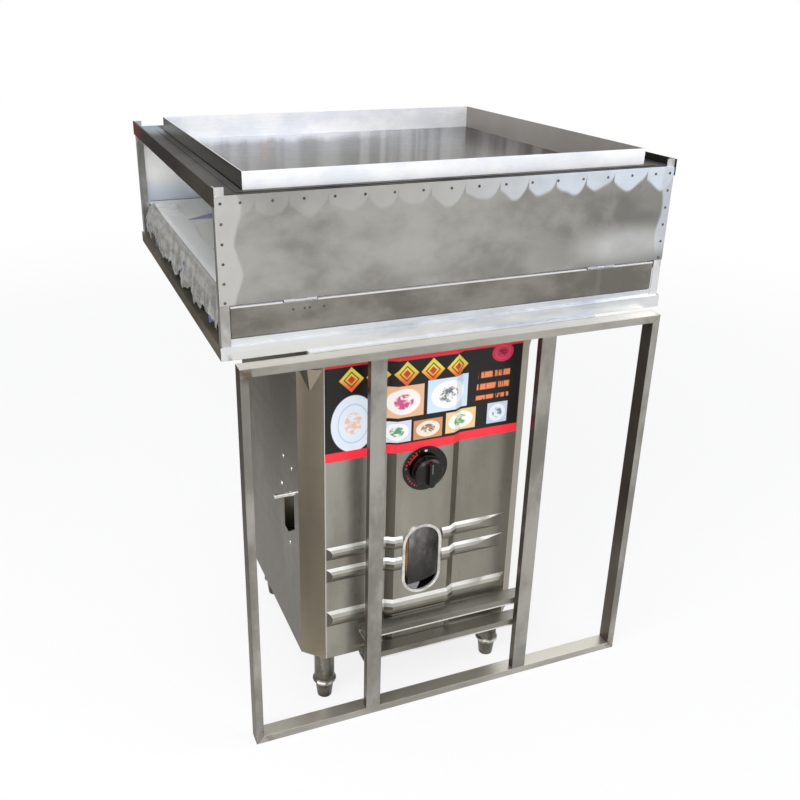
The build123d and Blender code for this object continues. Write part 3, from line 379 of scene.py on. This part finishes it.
def deck_shade(g, colour):
    """Painted reflections of blue sky in two wedges on the deck, its dull back seam and a painted
    bluish reflection at the back panel's foot.
    """
    slant = 0.35
    wave = g.noise((1.2, 3, 1), 2, 0.5, (4, 2, 0))
    faces_up = g.ramp(g.nz, 0.5, 0.9)
    on_deck = g.times(faces_up, g.ramp(g.z, 0.85, 0.86), g.fall(g.x, -0.15, 0.05))
    widening = g.times(g.sum(g.x, 0.37), slant)
    blue = 0.0
    # Painted reflections of blue sky, in two wedges.
    for place in (0.33, 0.06):
        line = g.minus(g.y, g.sum(place, g.times(g.x, slant), g.spread(wave, -0.04, 0.04)))
        gap = g.minus(g.absolute(line), widening)
        blue = g.larger(blue, g.times(g.fall(gap, -0.006, 0.006), on_deck))
    colour = g.mix(colour, rgb(84, 110, 170), g.times(blue, 0.85))
    _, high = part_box("deck_plate")
    seam = g.times(faces_up, g.ramp(g.y, high[1] - 0.010, high[1] - 0.006))
    colour = g.mix(colour, rgb(96, 96, 90), seam)
    # Painted bluish reflection at the back panel's foot.
    foot = g.times(g.fall(g.ny, -0.9, -0.7), g.fall(g.z, high[2] + 0.01, high[2] + 0.07))
    return g.mix(colour, rgb(150, 168, 200), g.times(foot, 0.6))


def rail_shade(g, colour):
    """The rest angle is duller than the rails, with ragged dark weld along its lower edge."""
    weld_top = 0.794
    ragged = g.noise((34, 1, 8), 4, 0.7, (1, 0, 0))
    dark = g.times(g.ramp(ragged, 0.5, 0.6), g.fall(g.z, weld_top - 0.0005, weld_top))
    low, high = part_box("cabinet_rest_angle")
    here = g.times(g.band(g.x, low[0], high[0], 0.001),
                   g.band(g.z, low[2], high[2] - 0.003, 0.0005))
    colour = g.mix(colour, rgb(146, 143, 136), g.times(here, 0.7))
    return g.mix(colour, rgb(92, 88, 80), g.times(dark, here, 0.7))


def recess_shade(g, colour):
    """The ledge on the tray's left throws back the sky at its back end."""
    back = g.times(g.ramp(g.y, 0.24, 0.36), g.fall(g.x, -0.385, -0.375))
    return g.mix(colour, rgb(168, 184, 196), g.times(back, 0.8))


def left_rail_shade(g, colour):
    """Dark, with a red reflection at the back end of the left rail's outside."""
    patch = g.spread(g.noise((2, 8, 60), 3), -0.05, 0.05)
    red = g.times(g.ramp(g.sum(g.y, patch), 0.30, 0.39), g.fall(g.nx, -0.9, -0.7),
                  g.fall(g.x, 0, 0.1))
    return g.mix(colour, rgb(112, 44, 40), g.times(red, 0.7))


# ---- the stand
def tube_shade(g, colour):
    """Heat tint, a ground seam at each mitre and a spot of weld on the top rail's left end."""
    _, (half, _, top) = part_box("frame_top_rail")
    tint_from, tint_to = 0.018, 0.045
    side = g.minus(half, g.absolute(g.x))
    high = g.math("MINIMUM", g.z, g.minus(top, g.z))
    seam = g.absolute(g.minus(side, high))
    corner = g.times(g.fall(side, tint_from, tint_to), g.fall(high, tint_from, tint_to))
    patch = g.noise((60, 60, 60))
    tint = g.times(corner, g.ramp(patch, 0.45, 0.65))
    colour = g.mix(colour, rgb(104, 82, 66), g.times(tint, 0.5))
    line = g.times(g.fall(seam, 0.0, 0.0016), g.fall(side, 0.016, 0.02))
    colour = g.mix(colour, rgb(88, 80, 72), g.times(line, 0.7))
    blob = g.fall(g.away((-0.4, 0, top - 0.012), (0.010, 0, 0.009)), 0.5, 1.1)
    colour = g.mix(colour, rgb(112, 100, 86), g.times(blob, g.ramp(patch, 0.42, 0.55), 0.8))
    # The sides throw back the dark ground beside the machine, the tops the pale sky.
    colour = g.mix(colour, rgb(70, 60, 52), g.times(g.fall(g.nx, -0.9, -0.6), 0.85))
    return g.mix(colour, rgb(232, 228, 216), g.times(g.ramp(g.nz, 0.6, 0.9), 0.75))


def shelf_shade(g, colour):
    """Dull rails with a painted highlight along the lower edge of each, painted light on the tops
    and smoke marks at the welds.
    """
    highlight_height, smoke_length = 0.0030, 0.045
    for name in ("shelf_rail_upper", "shelf_rail_lower"):
        low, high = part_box(name)
        # Painted highlight along the lower edge.
        line = g.band(g.z, low[2] - 0.001, low[2] + highlight_height, 0.0004)
        colour = g.mix(colour, rgb(250, 248, 244), g.times(line, 0.95))
        end = g.ramp(g.x, high[0] - smoke_length, high[0])
        smoke = g.ramp(g.noise((40, 40, 40)), 0.42, 0.6)
        colour = g.mix(colour, rgb(58, 50, 42), g.times(end, smoke, 0.6))
    # Painted light on the tops of the rails.
    return g.mix(colour, rgb(176, 174, 168), g.times(g.ramp(g.nz, 0.6, 0.9), 0.6))


# ---- the boiler
def boiler_shade(g, colour):
    """Warm upright bands, painted shade on the slopes by the raised middle, ribs with painted
    highlights above and painted shade below.
    """
    bands = g.noise((9, 1, 0.7), 4, 0.5, (2, 0, 0))
    colour = g.mix(colour, rgb(186, 183, 174), g.times(g.ramp(bands, 0.5, 0.7), 0.35))
    level = g.fall(g.absolute(g.nz), 0.06, 0.14)
    # Painted shade on the slopes by the raised middle.
    shaded_slope = g.times(g.ramp(g.absolute(g.nx), 0.25, 0.4), level)
    colour = g.mix(colour, rgb(84, 77, 66), g.times(shaded_slope, 0.8))
    # The ribs' highlights break up towards the right.
    fade = g.larger(g.fall(g.x, 0.04, 0.10), g.ramp(g.noise((16, 1, 30), 2, 0.5), 0.4, 0.6))
    colour = g.mix(colour, rgb(250, 250, 246), g.times(g.ramp(g.nz, 0.10, 0.5), fade, 0.95))
    # Painted shade under the ribs.
    colour = g.mix(colour, rgb(66, 61, 52), g.times(g.fall(g.nz, -0.5, -0.08), 0.7))
    right = g.ramp(g.x, -0.10, 0.10)
    colour = g.mix(colour, rgb(122, 115, 102), g.times(right, level, 0.45))
    left_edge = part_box("boiler_front_panel")[0][0]
    seam = g.fall(g.x, left_edge, left_edge + 0.004)
    return g.mix(colour, rgb(236, 234, 228), g.times(seam, 0.8))


def boiler_side_shade(g, colour):
    """Level smears on the flat side, painted light on the paler corner fold and painted highlights
    on the turned-in corners.
    """
    smear = g.ramp(g.noise((3, 3, 60), 4, 0.6, (1, 2, 0)), 0.5, 0.7)
    colour = g.mix(colour, rgb(84, 79, 70), g.times(smear, 0.35))
    colour = g.mix(colour, rgb(76, 72, 66), g.times(g.fall(g.z, 0.12, 0.42), 0.6))
    # Painted light: the forward-facing corner fold is paler.
    colour = g.mix(colour, rgb(168, 158, 138), g.fall(g.ny, -0.9, -0.35))
    # Painted highlights on the turned-in corners.
    corner = g.times(g.fall(g.nz, -0.3, -0.15), g.ramp(g.z, 0.70, 0.71))
    return g.mix(colour, rgb(236, 238, 240), g.times(corner, 0.9))


def foot_shade(g, colour):
    """The flare of each leg tube is worn at its lip, with a painted highlight there."""
    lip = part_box("leg_sockets")[0][2]
    # Painted highlight round the worn lip.
    ring = g.band(g.z, lip - 0.001, lip + 0.009, 0.002)
    worn_highlight = g.ramp(g.noise((30, 30, 9), 3), 0.4, 0.55)
    return g.mix(colour, rgb(226, 224, 218), g.times(ring, worn_highlight))


def bezel_shade(g, colour):
    """Red setting marks round the left half of the dial and one white mark at the top."""
    low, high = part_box("knob_bezel")
    across = g.minus(g.x, (low[0] + high[0]) / 2)
    up = g.minus(g.z, (low[2] + high[2]) / 2)
    radius = g.length(across, up)
    angle = g.math("ARCTAN2", up, across)
    ticks = g.ramp(g.math("SINE", g.times(angle, 34.0)), 0.0, 0.3)

    def ring(inner, outer, start, end):
        return g.times(g.band(radius, inner, outer, 0.0004), g.band(angle, start, end, 0.02))

    arc = ring(0.0352, 0.0382, 2.05, 2.75)
    marks = g.times(ring(0.0395, 0.0425, 1.9, 3.2), ticks)
    lower = g.times(ring(0.037, 0.040, -2.9, -2.0), ticks)
    colour = g.mix(colour, rgb(226, 40, 40), g.larger(g.larger(arc, marks), lower))
    return g.mix(colour, rgb(230, 230, 230), ring(0.036, 0.040, 1.5, 1.64))


# Each row: the finish, its dark and light colour, the direction of the brush, the blotches to the
# metre along each axis, other settings of steel(), and the nodes that wear it.
METALS = (
    ("panel_steel", (150, 148, 144), (184, 184, 180), "x", (4, 4, 6),
     dict(rough=0.42, grain=0.04, shade=front_panel_shade), ("front_panel",)),
    ("flap_steel", (122, 120, 114), (156, 153, 148), "z", (5, 5, 9),
     dict(rough=0.38, grain=0.05, shade=flap_shade), ("flap_door",)),
    ("bright_steel", (208, 214, 224), (244, 246, 250), "x", (3, 3, 12),
     dict(rough=0.22, shade=rail_shade),
     ("base_rail_front", "base_rail_back", "flap_stop_rail", "top_rail_front",
      "flap_hinge_fixed_leaves", "flap_hinge_moving_leaves", "flap_hinge_pins",
      "deck_cross_angles", "cabinet_rest_angle")),
    # side_steel and low_side_steel are darker copies of the rail steel for the side rails: painted
    # shade.
    ("side_steel", (36, 34, 30), (64, 60, 53), "y", (6, 3, 6),
     dict(rough=0.4, metallic=0.3, shade=left_rail_shade, shine=0.1),
     ("top_rail_left", "top_rail_right")),
    ("low_side_steel", (72, 68, 58), (104, 98, 86), "y", (6, 3, 6),
     dict(rough=0.4, metallic=0.3, shine=0.1), ("base_rail_left", "base_rail_right")),
    ("post_steel", (176, 174, 170), (240, 242, 244), "z", (9, 9, 5), dict(rough=0.3),
     ("corner_post_front_left", "corner_post_front_right", "corner_post_back_left",
      "corner_post_back_right")),
    ("recess_steel", (44, 42, 39), (82, 80, 75), "y", (5, 3, 5),
     dict(rough=0.4, metallic=0.3, shade=recess_shade, shine=0.1), ("recess_deck", "steam_tub")),
    ("tray_steel", (238, 240, 246), (255, 255, 255), "x", (9, 9, 14),
     dict(rough=0.2, metallic=0.15, shade=tray_shade), ("tray",)),
    # deck_steel is near white: a painted reflection of the bright sky that the deck throws back.
    ("deck_steel", (246, 246, 240), (254, 254, 250), "y", (3, 3, 3),
     dict(rough=0.24, metallic=0.05, shade=deck_shade),
     ("deck_plate", "back_panel", "cabinet_floor", "steam_riser")),
    ("tube_across", (164, 161, 154), (196, 193, 186), "x", (3, 3, 6),
     dict(shade=tube_shade, edge=0.0022), ("frame_top_rail", "frame_bottom_rail")),
    ("tube_upright", (144, 141, 136), (182, 180, 175), "z", (9, 9, 5),
     dict(grain=0.1, shade=tube_shade, edge=0.0022),
     ("frame_left_post", "frame_right_post", "frame_mid_post_left", "frame_mid_post_right")),
    ("tube_shelf", (112, 109, 100), (150, 147, 138), "x", (3, 3, 6),
     dict(rough=0.3, shade=shelf_shade, edge=0.0016), ("shelf_rail_upper", "shelf_rail_lower")),
    ("boiler_front_steel", (150, 146, 136), (178, 175, 166), "z", (5, 5, 2),
     dict(rough=0.3, grain=0.05, shade=boiler_shade), ("boiler_front_panel",)),
    # boiler_side_steel is a darker copy of the boiler's front steel: painted shade on its sides.
    ("boiler_side_steel", (102, 97, 88), (124, 119, 109), "z", (4, 4, 2),
     dict(rough=0.32, grain=0.05, shade=boiler_side_shade),
     ("boiler_side_left", "boiler_side_right", "boiler_back_panel", "boiler_top_plate",
      "boiler_bottom_plate", "flue_collar")),
    ("rim_steel", (200, 198, 194), (248, 248, 246), "z", (30, 30, 30), dict(rough=0.14),
     ("window_rim",)),
    ("rivet_steel", (70, 68, 66), (120, 118, 116), "x", (90, 90, 90), dict(rough=0.4),
     ("panel_rivets",)),
    ("foot_steel", (66, 63, 57), (122, 119, 112), "z", (16, 16, 16),
     dict(rough=0.3, shade=foot_shade),
     ("leg_sockets", "foot_front_left", "foot_front_right", "foot_back_left", "foot_back_right")),
    # The tank's steel is painted pale: painted light on the tank seen through the window.
    ("tank_steel_painted_light", (150, 148, 142), (250, 248, 244), "z", (16, 16, 9),
     dict(rough=0.5, metallic=0.1), ("water_tank", "boiler_cross_bars")),
    ("brass", (150, 118, 66), (196, 164, 104), "x", (60, 60, 60),
     dict(rough=0.36, metallic=1.0), ("valve_body", "valve_plug", "valve_spindle")),
    ("pipe_copper", (120, 78, 52), (188, 132, 92), "z", (30, 30, 12),
     dict(rough=0.4, metallic=1.0), ("gas_feed_pipe",)),
    ("pipe_bright", (200, 200, 198), (252, 252, 250), "x", (30, 30, 30),
     dict(rough=0.12, metallic=1.0), ("gas_inlet_pipe",)),
    ("burner_iron", (30, 28, 27), (62, 58, 55), "x", (60, 60, 60),
     dict(rough=0.7, metallic=0.5), ("burner",)),
)


def make_finishes():
    """Dress every CAD node: the metals, then the gasket, the knob and its bezel."""
    for name, dark, light, along, blotch, settings, names in METALS:
        dress(steel(name, rgb(*dark), rgb(*light), along, blotch, **settings), *names)
    g = Graph("gasket_rubber")
    fine = g.noise((120, 120, 120))
    colour = g.mix(rgb(26, 26, 26), rgb(48, 46, 44), fine)
    dress(g.finish(colour, 0.8, 0.0, g.bump(fine, 0.3, 0.001)), "steam_gasket")
    for name, node, shade in (("knob_plastic", "control_knob", None),
                              ("bezel_plastic", "knob_bezel", bezel_shade)):
        g = Graph(name)
        fine = g.noise((300, 300, 300))
        colour = g.mix(rgb(3, 3, 4), rgb(10, 10, 11), fine)
        if shade:
            colour = shade(g, colour)
        normal = g.bump(fine, 0.08, 0.0003, g.rounded(0.0012))
        dress(g.finish(colour, g.spread(fine, 0.18, 0.32), 0.0, normal), node)


# ---------------------------------------------------------------------------------- added pieces
def make_mesh(name, points, faces, material, smooth=True):
    mesh = bpy.data.meshes.new(name)
    mesh.from_pydata(points, [], faces)
    for face in mesh.polygons:
        face.use_smooth = smooth
    mesh.materials.append(material)
    piece = bpy.data.objects.new(name, mesh)
    scene.collection.objects.link(piece)
    return piece


def grid_faces(rows, columns):
    """Quads of a grid whose points run column by column along each row."""
    faces = []
    for row in range(rows - 1):
        for column in range(columns - 1):
            first = row * columns + column
            faces.append((first, first + 1, first + columns + 1, first + columns))
    return faces


def along_path(path, share):
    """The point a share of the way along a path in the XZ plane, and the direction across it."""
    lengths = [math.dist(a, b) for a, b in zip(path, path[1:])]
    left = share * sum(lengths)
    for a, b, length in zip(path, path[1:], lengths):
        if left <= length or b is path[-1]:
            run = ((b[0] - a[0]) / length, (b[1] - a[1]) / length)
            part = min(left / length, 1.0)
            point = (a[0] + (b[0] - a[0]) * part, a[1] + (b[1] - a[1]) * part)
            return point, (run[1], -run[0])
        left -= length


# Size of the flats between the film's creases, and the share of the height that each gives.
CREASES = ((0.056, 0.6), (0.025, 0.3), (0.010, 0.1))
CREASE_STEEPNESS = 1.2


def crease(x, y, seed):
    """Crumpled height from 0 to 1: sharp ridges between small flats."""
    total = 0.0
    for size, weight in CREASES:
        distances = noise.voronoi(Vector((x / size, y / size, seed)))[0]
        total += weight * min((distances[1] - distances[0]) * CREASE_STEEPNESS, 1.0)
    return total


def film_points(path, low, high, deck_top, deck_edge, rows, columns):
    """Rows of points across the film from front to back: a path, lifted by creases and folds."""
    bunched_length, bunched_height = 0.12, 0.0200
    crease_height, fold_height, flat_height = 0.0110, 0.0055, 0.0010
    hang_start, hang_fade = 0.50, 0.30
    strip_width = 0.075
    outermost = low[0] - 0.0050
    points = []
    for row in range(rows):
        y = low[1] + (high[1] - low[1]) * row / (rows - 1)
        back = max(0.0, 1 - (high[1] - y) / bunched_length)
        jag = abs(noise.noise(Vector((y * 15, 7.7, 0))))
        jag += 0.35 * abs(noise.noise(Vector((y * 46, 2.1, 0))))
        first = max(0.03 + 0.06 * noise.noise(Vector((y * 9, 1.3, 0))), 0.0)
        last = 0.99 - 0.34 * jag
        for column in range(columns):
            share = first + (last - first) * column / (columns - 1)
            (x, z), out = along_path(path, share)
            hanging = min(max((share - hang_start) / hang_fade, 0.0), 1.0)
            height = crease(y + share * 0.07, share * strip_width, 3.7)
            fold = 0.5 + 0.5 * noise.noise(Vector((y * 16 + share * 2, share * 2.6, 5.0)))
            flat = flat_height * fold + back * bunched_height * (1 - height) * max(share, 0.35)
            crumpled = crease_height * (1 - height) + fold_height * fold - 0.004
            lift = flat + (crumpled - flat) * hanging
            x = min(max(x - abs(out[0]) * lift, outermost), high[0])
            z += abs(out[1]) * lift
            if x > deck_edge:
                z = max(z, deck_top + 0.0006)
            points.append((x, y, z))
    return points


def film_material(deck_edge):
    """Clouded plastic with a few flecks of blue print: painted light where it lies on the deck,
    greyer painted shade where it hangs.
    """
    g = Graph("film_plastic")
    fine = g.noise((160, 160, 160), 5)
    cloud = g.ramp(g.noise((60, 30, 60), 5, 0.7, (2, 0, 1)), 0.3, 0.7)
    colour = g.mix(rgb(106, 105, 100), rgb(140, 140, 137), cloud)
    # Painted light where the film lies on the deck; the hanging part keeps the greyer painted
    # shade.
    lit_where_lying = g.ramp(g.x, deck_edge - 0.002, deck_edge + 0.002)
    colour = g.mix(colour, rgb(240, 241, 240), lit_where_lying)
    flecks = g.ramp(g.noise((3, 14, 20), 2, 0.5, (5, 1, 0)), 0.68, 0.70)
    colour = g.mix(colour, rgb(24, 48, 104), g.times(flecks, g.flip(lit_where_lying), 0.7))
    return g.finish(colour, g.spread(fine, 0.14, 0.30), 0.0, g.bump(fine, 0.10, 0.0012), IOR=1.5)


def make_film():
    """Protective film left on the deck's left edge: flat there, and hanging crumpled outside."""
    low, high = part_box("deck_film")
    deck_low, deck_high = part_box("deck_plate")
    deck_edge, deck_top = deck_low[0], deck_high[2]
    path = [
        (high[0], deck_top + 0.0012),
        (deck_edge + 0.010, deck_top + 0.0022),
        (deck_edge - 0.0025, deck_top + 0.0012),
        (deck_edge - 0.0060, deck_top - 0.0080),
        (deck_edge - 0.0105, deck_top - 0.0240),
        (deck_edge - 0.0125, deck_top - 0.0460),
        (deck_edge - 0.0120, low[2] + 0.0010),
    ]
    rows, columns = 460, 90
    points = film_points(path, low, high, deck_top, deck_edge, rows, columns)
    film = make_mesh("crumpled_film", points, grid_faces(rows, columns), film_material(deck_edge))
    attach(film, "steamer")
    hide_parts("deck_film")


# Pale tiles of the sticker, each with a round dish on it, and two plain discs without a tile.
# Each row: distance from the left end, height, half its width and height, and the colours of the
# tile, the dish and what is on it.
TILES = (
    (0.056, 0.072, 0.046, 0.060, None, (228, 238, 250), (240, 196, 168)),
    (0.152, 0.104, 0.040, 0.032, (240, 190, 150), (252, 248, 240), (216, 84, 140)),
    (0.140, 0.044, 0.028, 0.022, (226, 226, 244), (250, 252, 250), (96, 160, 110)),
    (0.202, 0.042, 0.030, 0.020, (214, 150, 104), (246, 232, 214), (150, 110, 80)),
    (0.242, 0.106, 0.044, 0.034, (212, 230, 248), (250, 250, 250), (112, 114, 112)),
    (0.272, 0.046, 0.034, 0.022, (240, 206, 150), (252, 250, 244), (120, 176, 84)),
    (0.352, 0.048, 0.022, 0.022, (206, 216, 230), (236, 242, 248), (120, 132, 160)),
    (0.356, 0.172, 0.024, 0.020, None, (226, 36, 84), (120, 20, 40)),
)


def lozenge_row(g, colour, wide, up, shown):
    """A row of warm lozenges, each split by a dark ring, under the red band."""
    start, end = 0.026, 0.286
    pitch, half_tall = 0.052, 0.026
    cell = g.minus(g.math("FRACT", g.over(g.minus(wide, start), pitch)), 0.5)
    high = g.over(g.minus(up, shown - half_tall), half_tall)
    lozenge = g.sum(g.absolute(g.times(cell, 2.05)), g.absolute(high))
    warm = g.mix(rgb(238, 96, 36), rgb(255, 236, 92), g.ramp(up, shown - 0.046, shown - 0.012))
    in_row = g.band(wide, start, end, 0.001)
    colour = g.mix(colour, warm, g.times(g.fall(lozenge, 0.92, 0.96), in_row))
    colour = g.mix(colour, rgb(60, 22, 16), g.times(g.band(lozenge, 0.5, 0.6, 0.03), in_row))
    return g.mix(colour, rgb(214, 60, 44), g.times(g.fall(lozenge, 0.28, 0.32), in_row))


def tiles_and_discs(g, colour, wide, up):
    """What TILES lists, over the colour of the ground."""
    for across, height, half_wide, half_tall, ground, plate, food in TILES:
        dx = g.over(g.absolute(g.minus(wide, across)), half_wide)
        dz = g.over(g.absolute(g.minus(up, height)), half_tall)
        radius = g.length(dx, dz)
        speckle = g.ramp(g.noise((90, 90, 120), 4, 0.6, (across * 90, 0, 0)), 0.40, 0.56)
        if ground:
            inside = g.fall(g.larger(dx, dz), 0.97, 1.0)
            tile = g.mix(rgb(*ground), rgb(*plate), g.fall(radius, 0.78, 0.84))
            spot = 0.5
        else:
            inside = g.fall(radius, 0.92, 0.96)
            rim = g.times(g.band(radius, 0.62, 0.66, 0.02), 0.5)
            tile = g.mix(rgb(*plate), rgb(150, 160, 180), rim)
            spot = 0.4
        tile = g.mix(tile, rgb(*food), g.times(g.fall(radius, spot - 0.06, spot), speckle))
        colour = g.mix(colour, tile, inside)
    return colour


def sticker_material(left, bottom, shown_top):
    """Black ground with warm shapes between two red bands, measured from its lower left corner."""
    g = Graph("sticker_print")
    wide = g.minus(g.x, left)
    up = g.minus(g.z, bottom)
    shown = shown_top - bottom
    colour = g.mix(rgb(14, 12, 12), rgb(40, 32, 30), g.ramp(g.noise((22, 22, 22), 3), 0.6, 0.8))
    colour = lozenge_row(g, colour, wide, up, shown)
    colour = tiles_and_discs(g, colour, wide, up)
    # Orange dashes near the right end.
    dash = g.times(g.band(g.math("FRACT", g.over(up, 0.024)), 0.2, 0.7, 0.05),
                   g.band(wide, 0.304, 0.374, 0.001), g.band(up, 0.080, 0.140, 0.001))
    broken = g.ramp(g.noise((150, 1, 10), 2, 0.5, (0, 0, 3)), 0.45, 0.5)
    colour = g.mix(colour, rgb(244, 140, 92), g.times(dash, broken))
    red = g.larger(g.fall(up, 0.0180, 0.0190), g.ramp(up, shown - 0.0005, shown + 0.0005))
    colour = g.mix(colour, rgb(252, 46, 62), red)
    colour = g.mix(colour, rgb(240, 236, 232), g.fall(wide, 0.0010, 0.0014))
    fine = g.noise((90, 90, 90), 3, 0.5)
    return g.finish(colour, g.spread(fine, 0.30, 0.42), 0.0, g.bump(fine, 0.06, 0.0004))


def make_sticker():
    """A plain-patterned sticker across the top of the boiler's folded front."""
    low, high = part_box("boiler_front_panel")
    flat_y, raised_y = -0.385, -0.3935
    inset, proud = 0.0005, 0.0002
    fold = [
        (low[0] + inset, flat_y),
        (-0.127, flat_y),
        (-0.111, raised_y),
        (0.007, raised_y),
        (0.023, flat_y),
        (high[0] - inset, flat_y),
    ]
    bottom, top = 0.562, high[2] - 0.001
    shown_top = 0.747  # the stand's top rail hides what is above
    points = [(x, y - proud, z) for z in (bottom, top) for x, y in fold]
    faces = grid_faces(2, len(fold))
    material = sticker_material(low[0], bottom, shown_top)
    sticker = make_mesh("front_sticker", points, faces, material, smooth=False)
    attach(sticker, "steamer")


SCREWS = ((-0.2515, 0.520), (-0.3055, 0.519), (-0.2355, 0.451), (-0.2855, 0.343))  # Y and Z


def make_screws():
    """Four domed screw heads on the boiler's left side."""
    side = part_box("boiler_side_left")[0][0]
    radius, rise = 0.0044, 0.0018
    rings, around = 4, 16
    points, faces = [], []
    for y, z in SCREWS:
        first = len(points)
        for ring in range(rings):
            turn = ring / rings * math.pi / 2
            for step in range(around):
                angle = 2 * math.pi * step / around
                points.append((side - rise * math.sin(turn),
                               y + radius * math.cos(turn) * math.cos(angle),
                               z + radius * math.cos(turn) * math.sin(angle)))
        points.append((side - rise, y, z))
        for ring in range(rings - 1):
            for step in range(around):
                a = first + ring * around + step
                b = first + ring * around + (step + 1) % around
                faces.append((a, b, b + around, a + around))
        last = first + (rings - 1) * around
        for step in range(around):
            faces.append((last + step, last + (step + 1) % around, len(points) - 1))
    material = steel("screw_steel", rgb(190, 190, 188), rgb(255, 255, 255), "y", (200, 200, 200),
                     rough=0.12)
    screws = make_mesh("side_screws", points, faces, material)
    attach(screws, "steamer")


def make_grip_highlight():
    """The pale line on the knob's grip, a painted highlight."""
    low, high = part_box("control_knob")
    x, z = (low[0] + high[0]) / 2, (low[2] + high[2]) / 2
    front = low[1] - 0.0001
    half = 0.0008
    foot, tip = z + 0.004, z + 0.0235
    points = [(x - half, front, foot), (x + half, front, foot),
              (x + half, front, tip), (x - half, front, tip)]
    g = Graph("grip_highlight_paint")
    fine = g.noise((400, 400, 400), 3, 0.5)
    # Painted highlight along the upper grip.
    material = g.finish(g.mix(rgb(96, 96, 98), rgb(132, 132, 134), fine), 0.4, 0.0)
    grip_highlight = make_mesh("knob_grip_highlight", points, [(0, 1, 2, 3)], material, smooth=False)
    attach(grip_highlight, "knob_set")


# ---------------------------------------------------------------------------------- stage
WHITE = rgb(255, 255, 255)
FLOOR_HALF, FLOOR_Z = 12.0, -0.0005
NEAR_WHITE = 0.82  # how far the floor is lifted to white for the camera, round the object
# Place, size and power of each lamp.
LAMPS = (
    ("key", (-1.6, -2.2, 3.2), 2.2, 60),
    ("fill", (2.4, -1.6, 2.2), 2.2, 26),
    ("side", (-2.9, -1.3, 1.25), 1.4, 44),
)
LAMP_AIM = Vector((0, 0, 0.6))


def make_floor():
    """A white floor that keeps its shadows and looks dark in reflections beside the machine."""
    g = Graph("floor")
    g.link(rgb(243, 243, 243), g.shader.inputs["Base Color"])
    g.link(0.9, g.shader.inputs["Roughness"])
    rays = g.add("ShaderNodeLightPath").outputs
    white = g.add("ShaderNodeEmission")
    g.link(WHITE, white.inputs["Color"])
    seen = g.add("ShaderNodeMixShader")
    # Far from the object the floor goes over into the white behind it, without a horizon.
    far = g.ramp(g.away((0, 0.3, 0), (1, 1, 0)), 1.2, 4.0)
    # Right under the boiler it keeps its full shadow, which shows through the window.
    under = g.ramp(g.away((0.10, -0.02, 0), (1, 1, 0)), 0.10, 0.19)
    lit = g.times(g.sum(NEAR_WHITE, g.times(far, 1 - NEAR_WHITE)), under)
    g.link(g.times(rays["Is Camera Ray"], lit), seen.inputs[0])
    g.link(g.shader.outputs[0], seen.inputs[1])
    g.link(white.outputs[0], seen.inputs[2])
    thrown = g.add("ShaderNodeEmission")
    beside = g.times(g.fall(g.x, -0.75, -0.43), g.ramp(g.y, -1.1, -0.5))
    g.link(g.mix(rgb(222, 220, 216), rgb(64, 54, 44), beside), thrown.inputs["Color"])
    reflected = g.add("ShaderNodeMixShader")
    g.link(g.times(rays["Is Glossy Ray"], 0.9), reflected.inputs[0])
    g.link(seen.outputs[0], reflected.inputs[1])
    g.link(thrown.outputs[0], reflected.inputs[2])
    g.link(reflected.outputs[0], g.tree.nodes["Material Output"].inputs["Surface"])
    signs = ((-1, -1), (1, -1), (1, 1), (-1, 1))
    corners = [(FLOOR_HALF * x, FLOOR_HALF * y, FLOOR_Z) for x, y in signs]
    floor = make_mesh("floor", corners, [(0, 1, 2, 3)], g.material, smooth=False)


def make_world():
    """White behind the object, a sky that whitens upwards in reflections, an even cool light."""
    world = bpy.data.worlds.new("world")
    world.use_nodes = True
    scene.world = world
    w = Nodes(world.node_tree)
    background = w.tree.nodes["Background"]
    rays = w.add("ShaderNodeLightPath").outputs
    _, _, up = w.axes(w.add("ShaderNodeTexCoord").outputs["Generated"])
    sky = w.mix(rgb(206, 204, 200), WHITE, w.ramp(up, 0.05, 0.6))
    flat = w.mix(rgb(194, 196, 200), sky, rays["Is Glossy Ray"])
    clear = w.math("ADD", rays["Is Camera Ray"], rays["Is Transmission Ray"], clamp=True)
    w.link(w.mix(flat, WHITE, clear), background.inputs["Color"])


def make_lamps():
    for name, place, size, power in LAMPS:
        data = bpy.data.lights.new(name, "AREA")
        data.size = size
        data.energy = power
        lamp = bpy.data.objects.new(name, data)
        lamp.location = place
        lamp.rotation_euler = (LAMP_AIM - Vector(place)).to_track_quat("-Z", "Y").to_euler()
        scene.collection.objects.link(lamp)


make_camera()
make_finishes()
make_film()
make_sticker()
make_screws()
make_grip_highlight()
make_floor()
make_world()
make_lamps()
scene.view_settings.view_transform = "Standard"
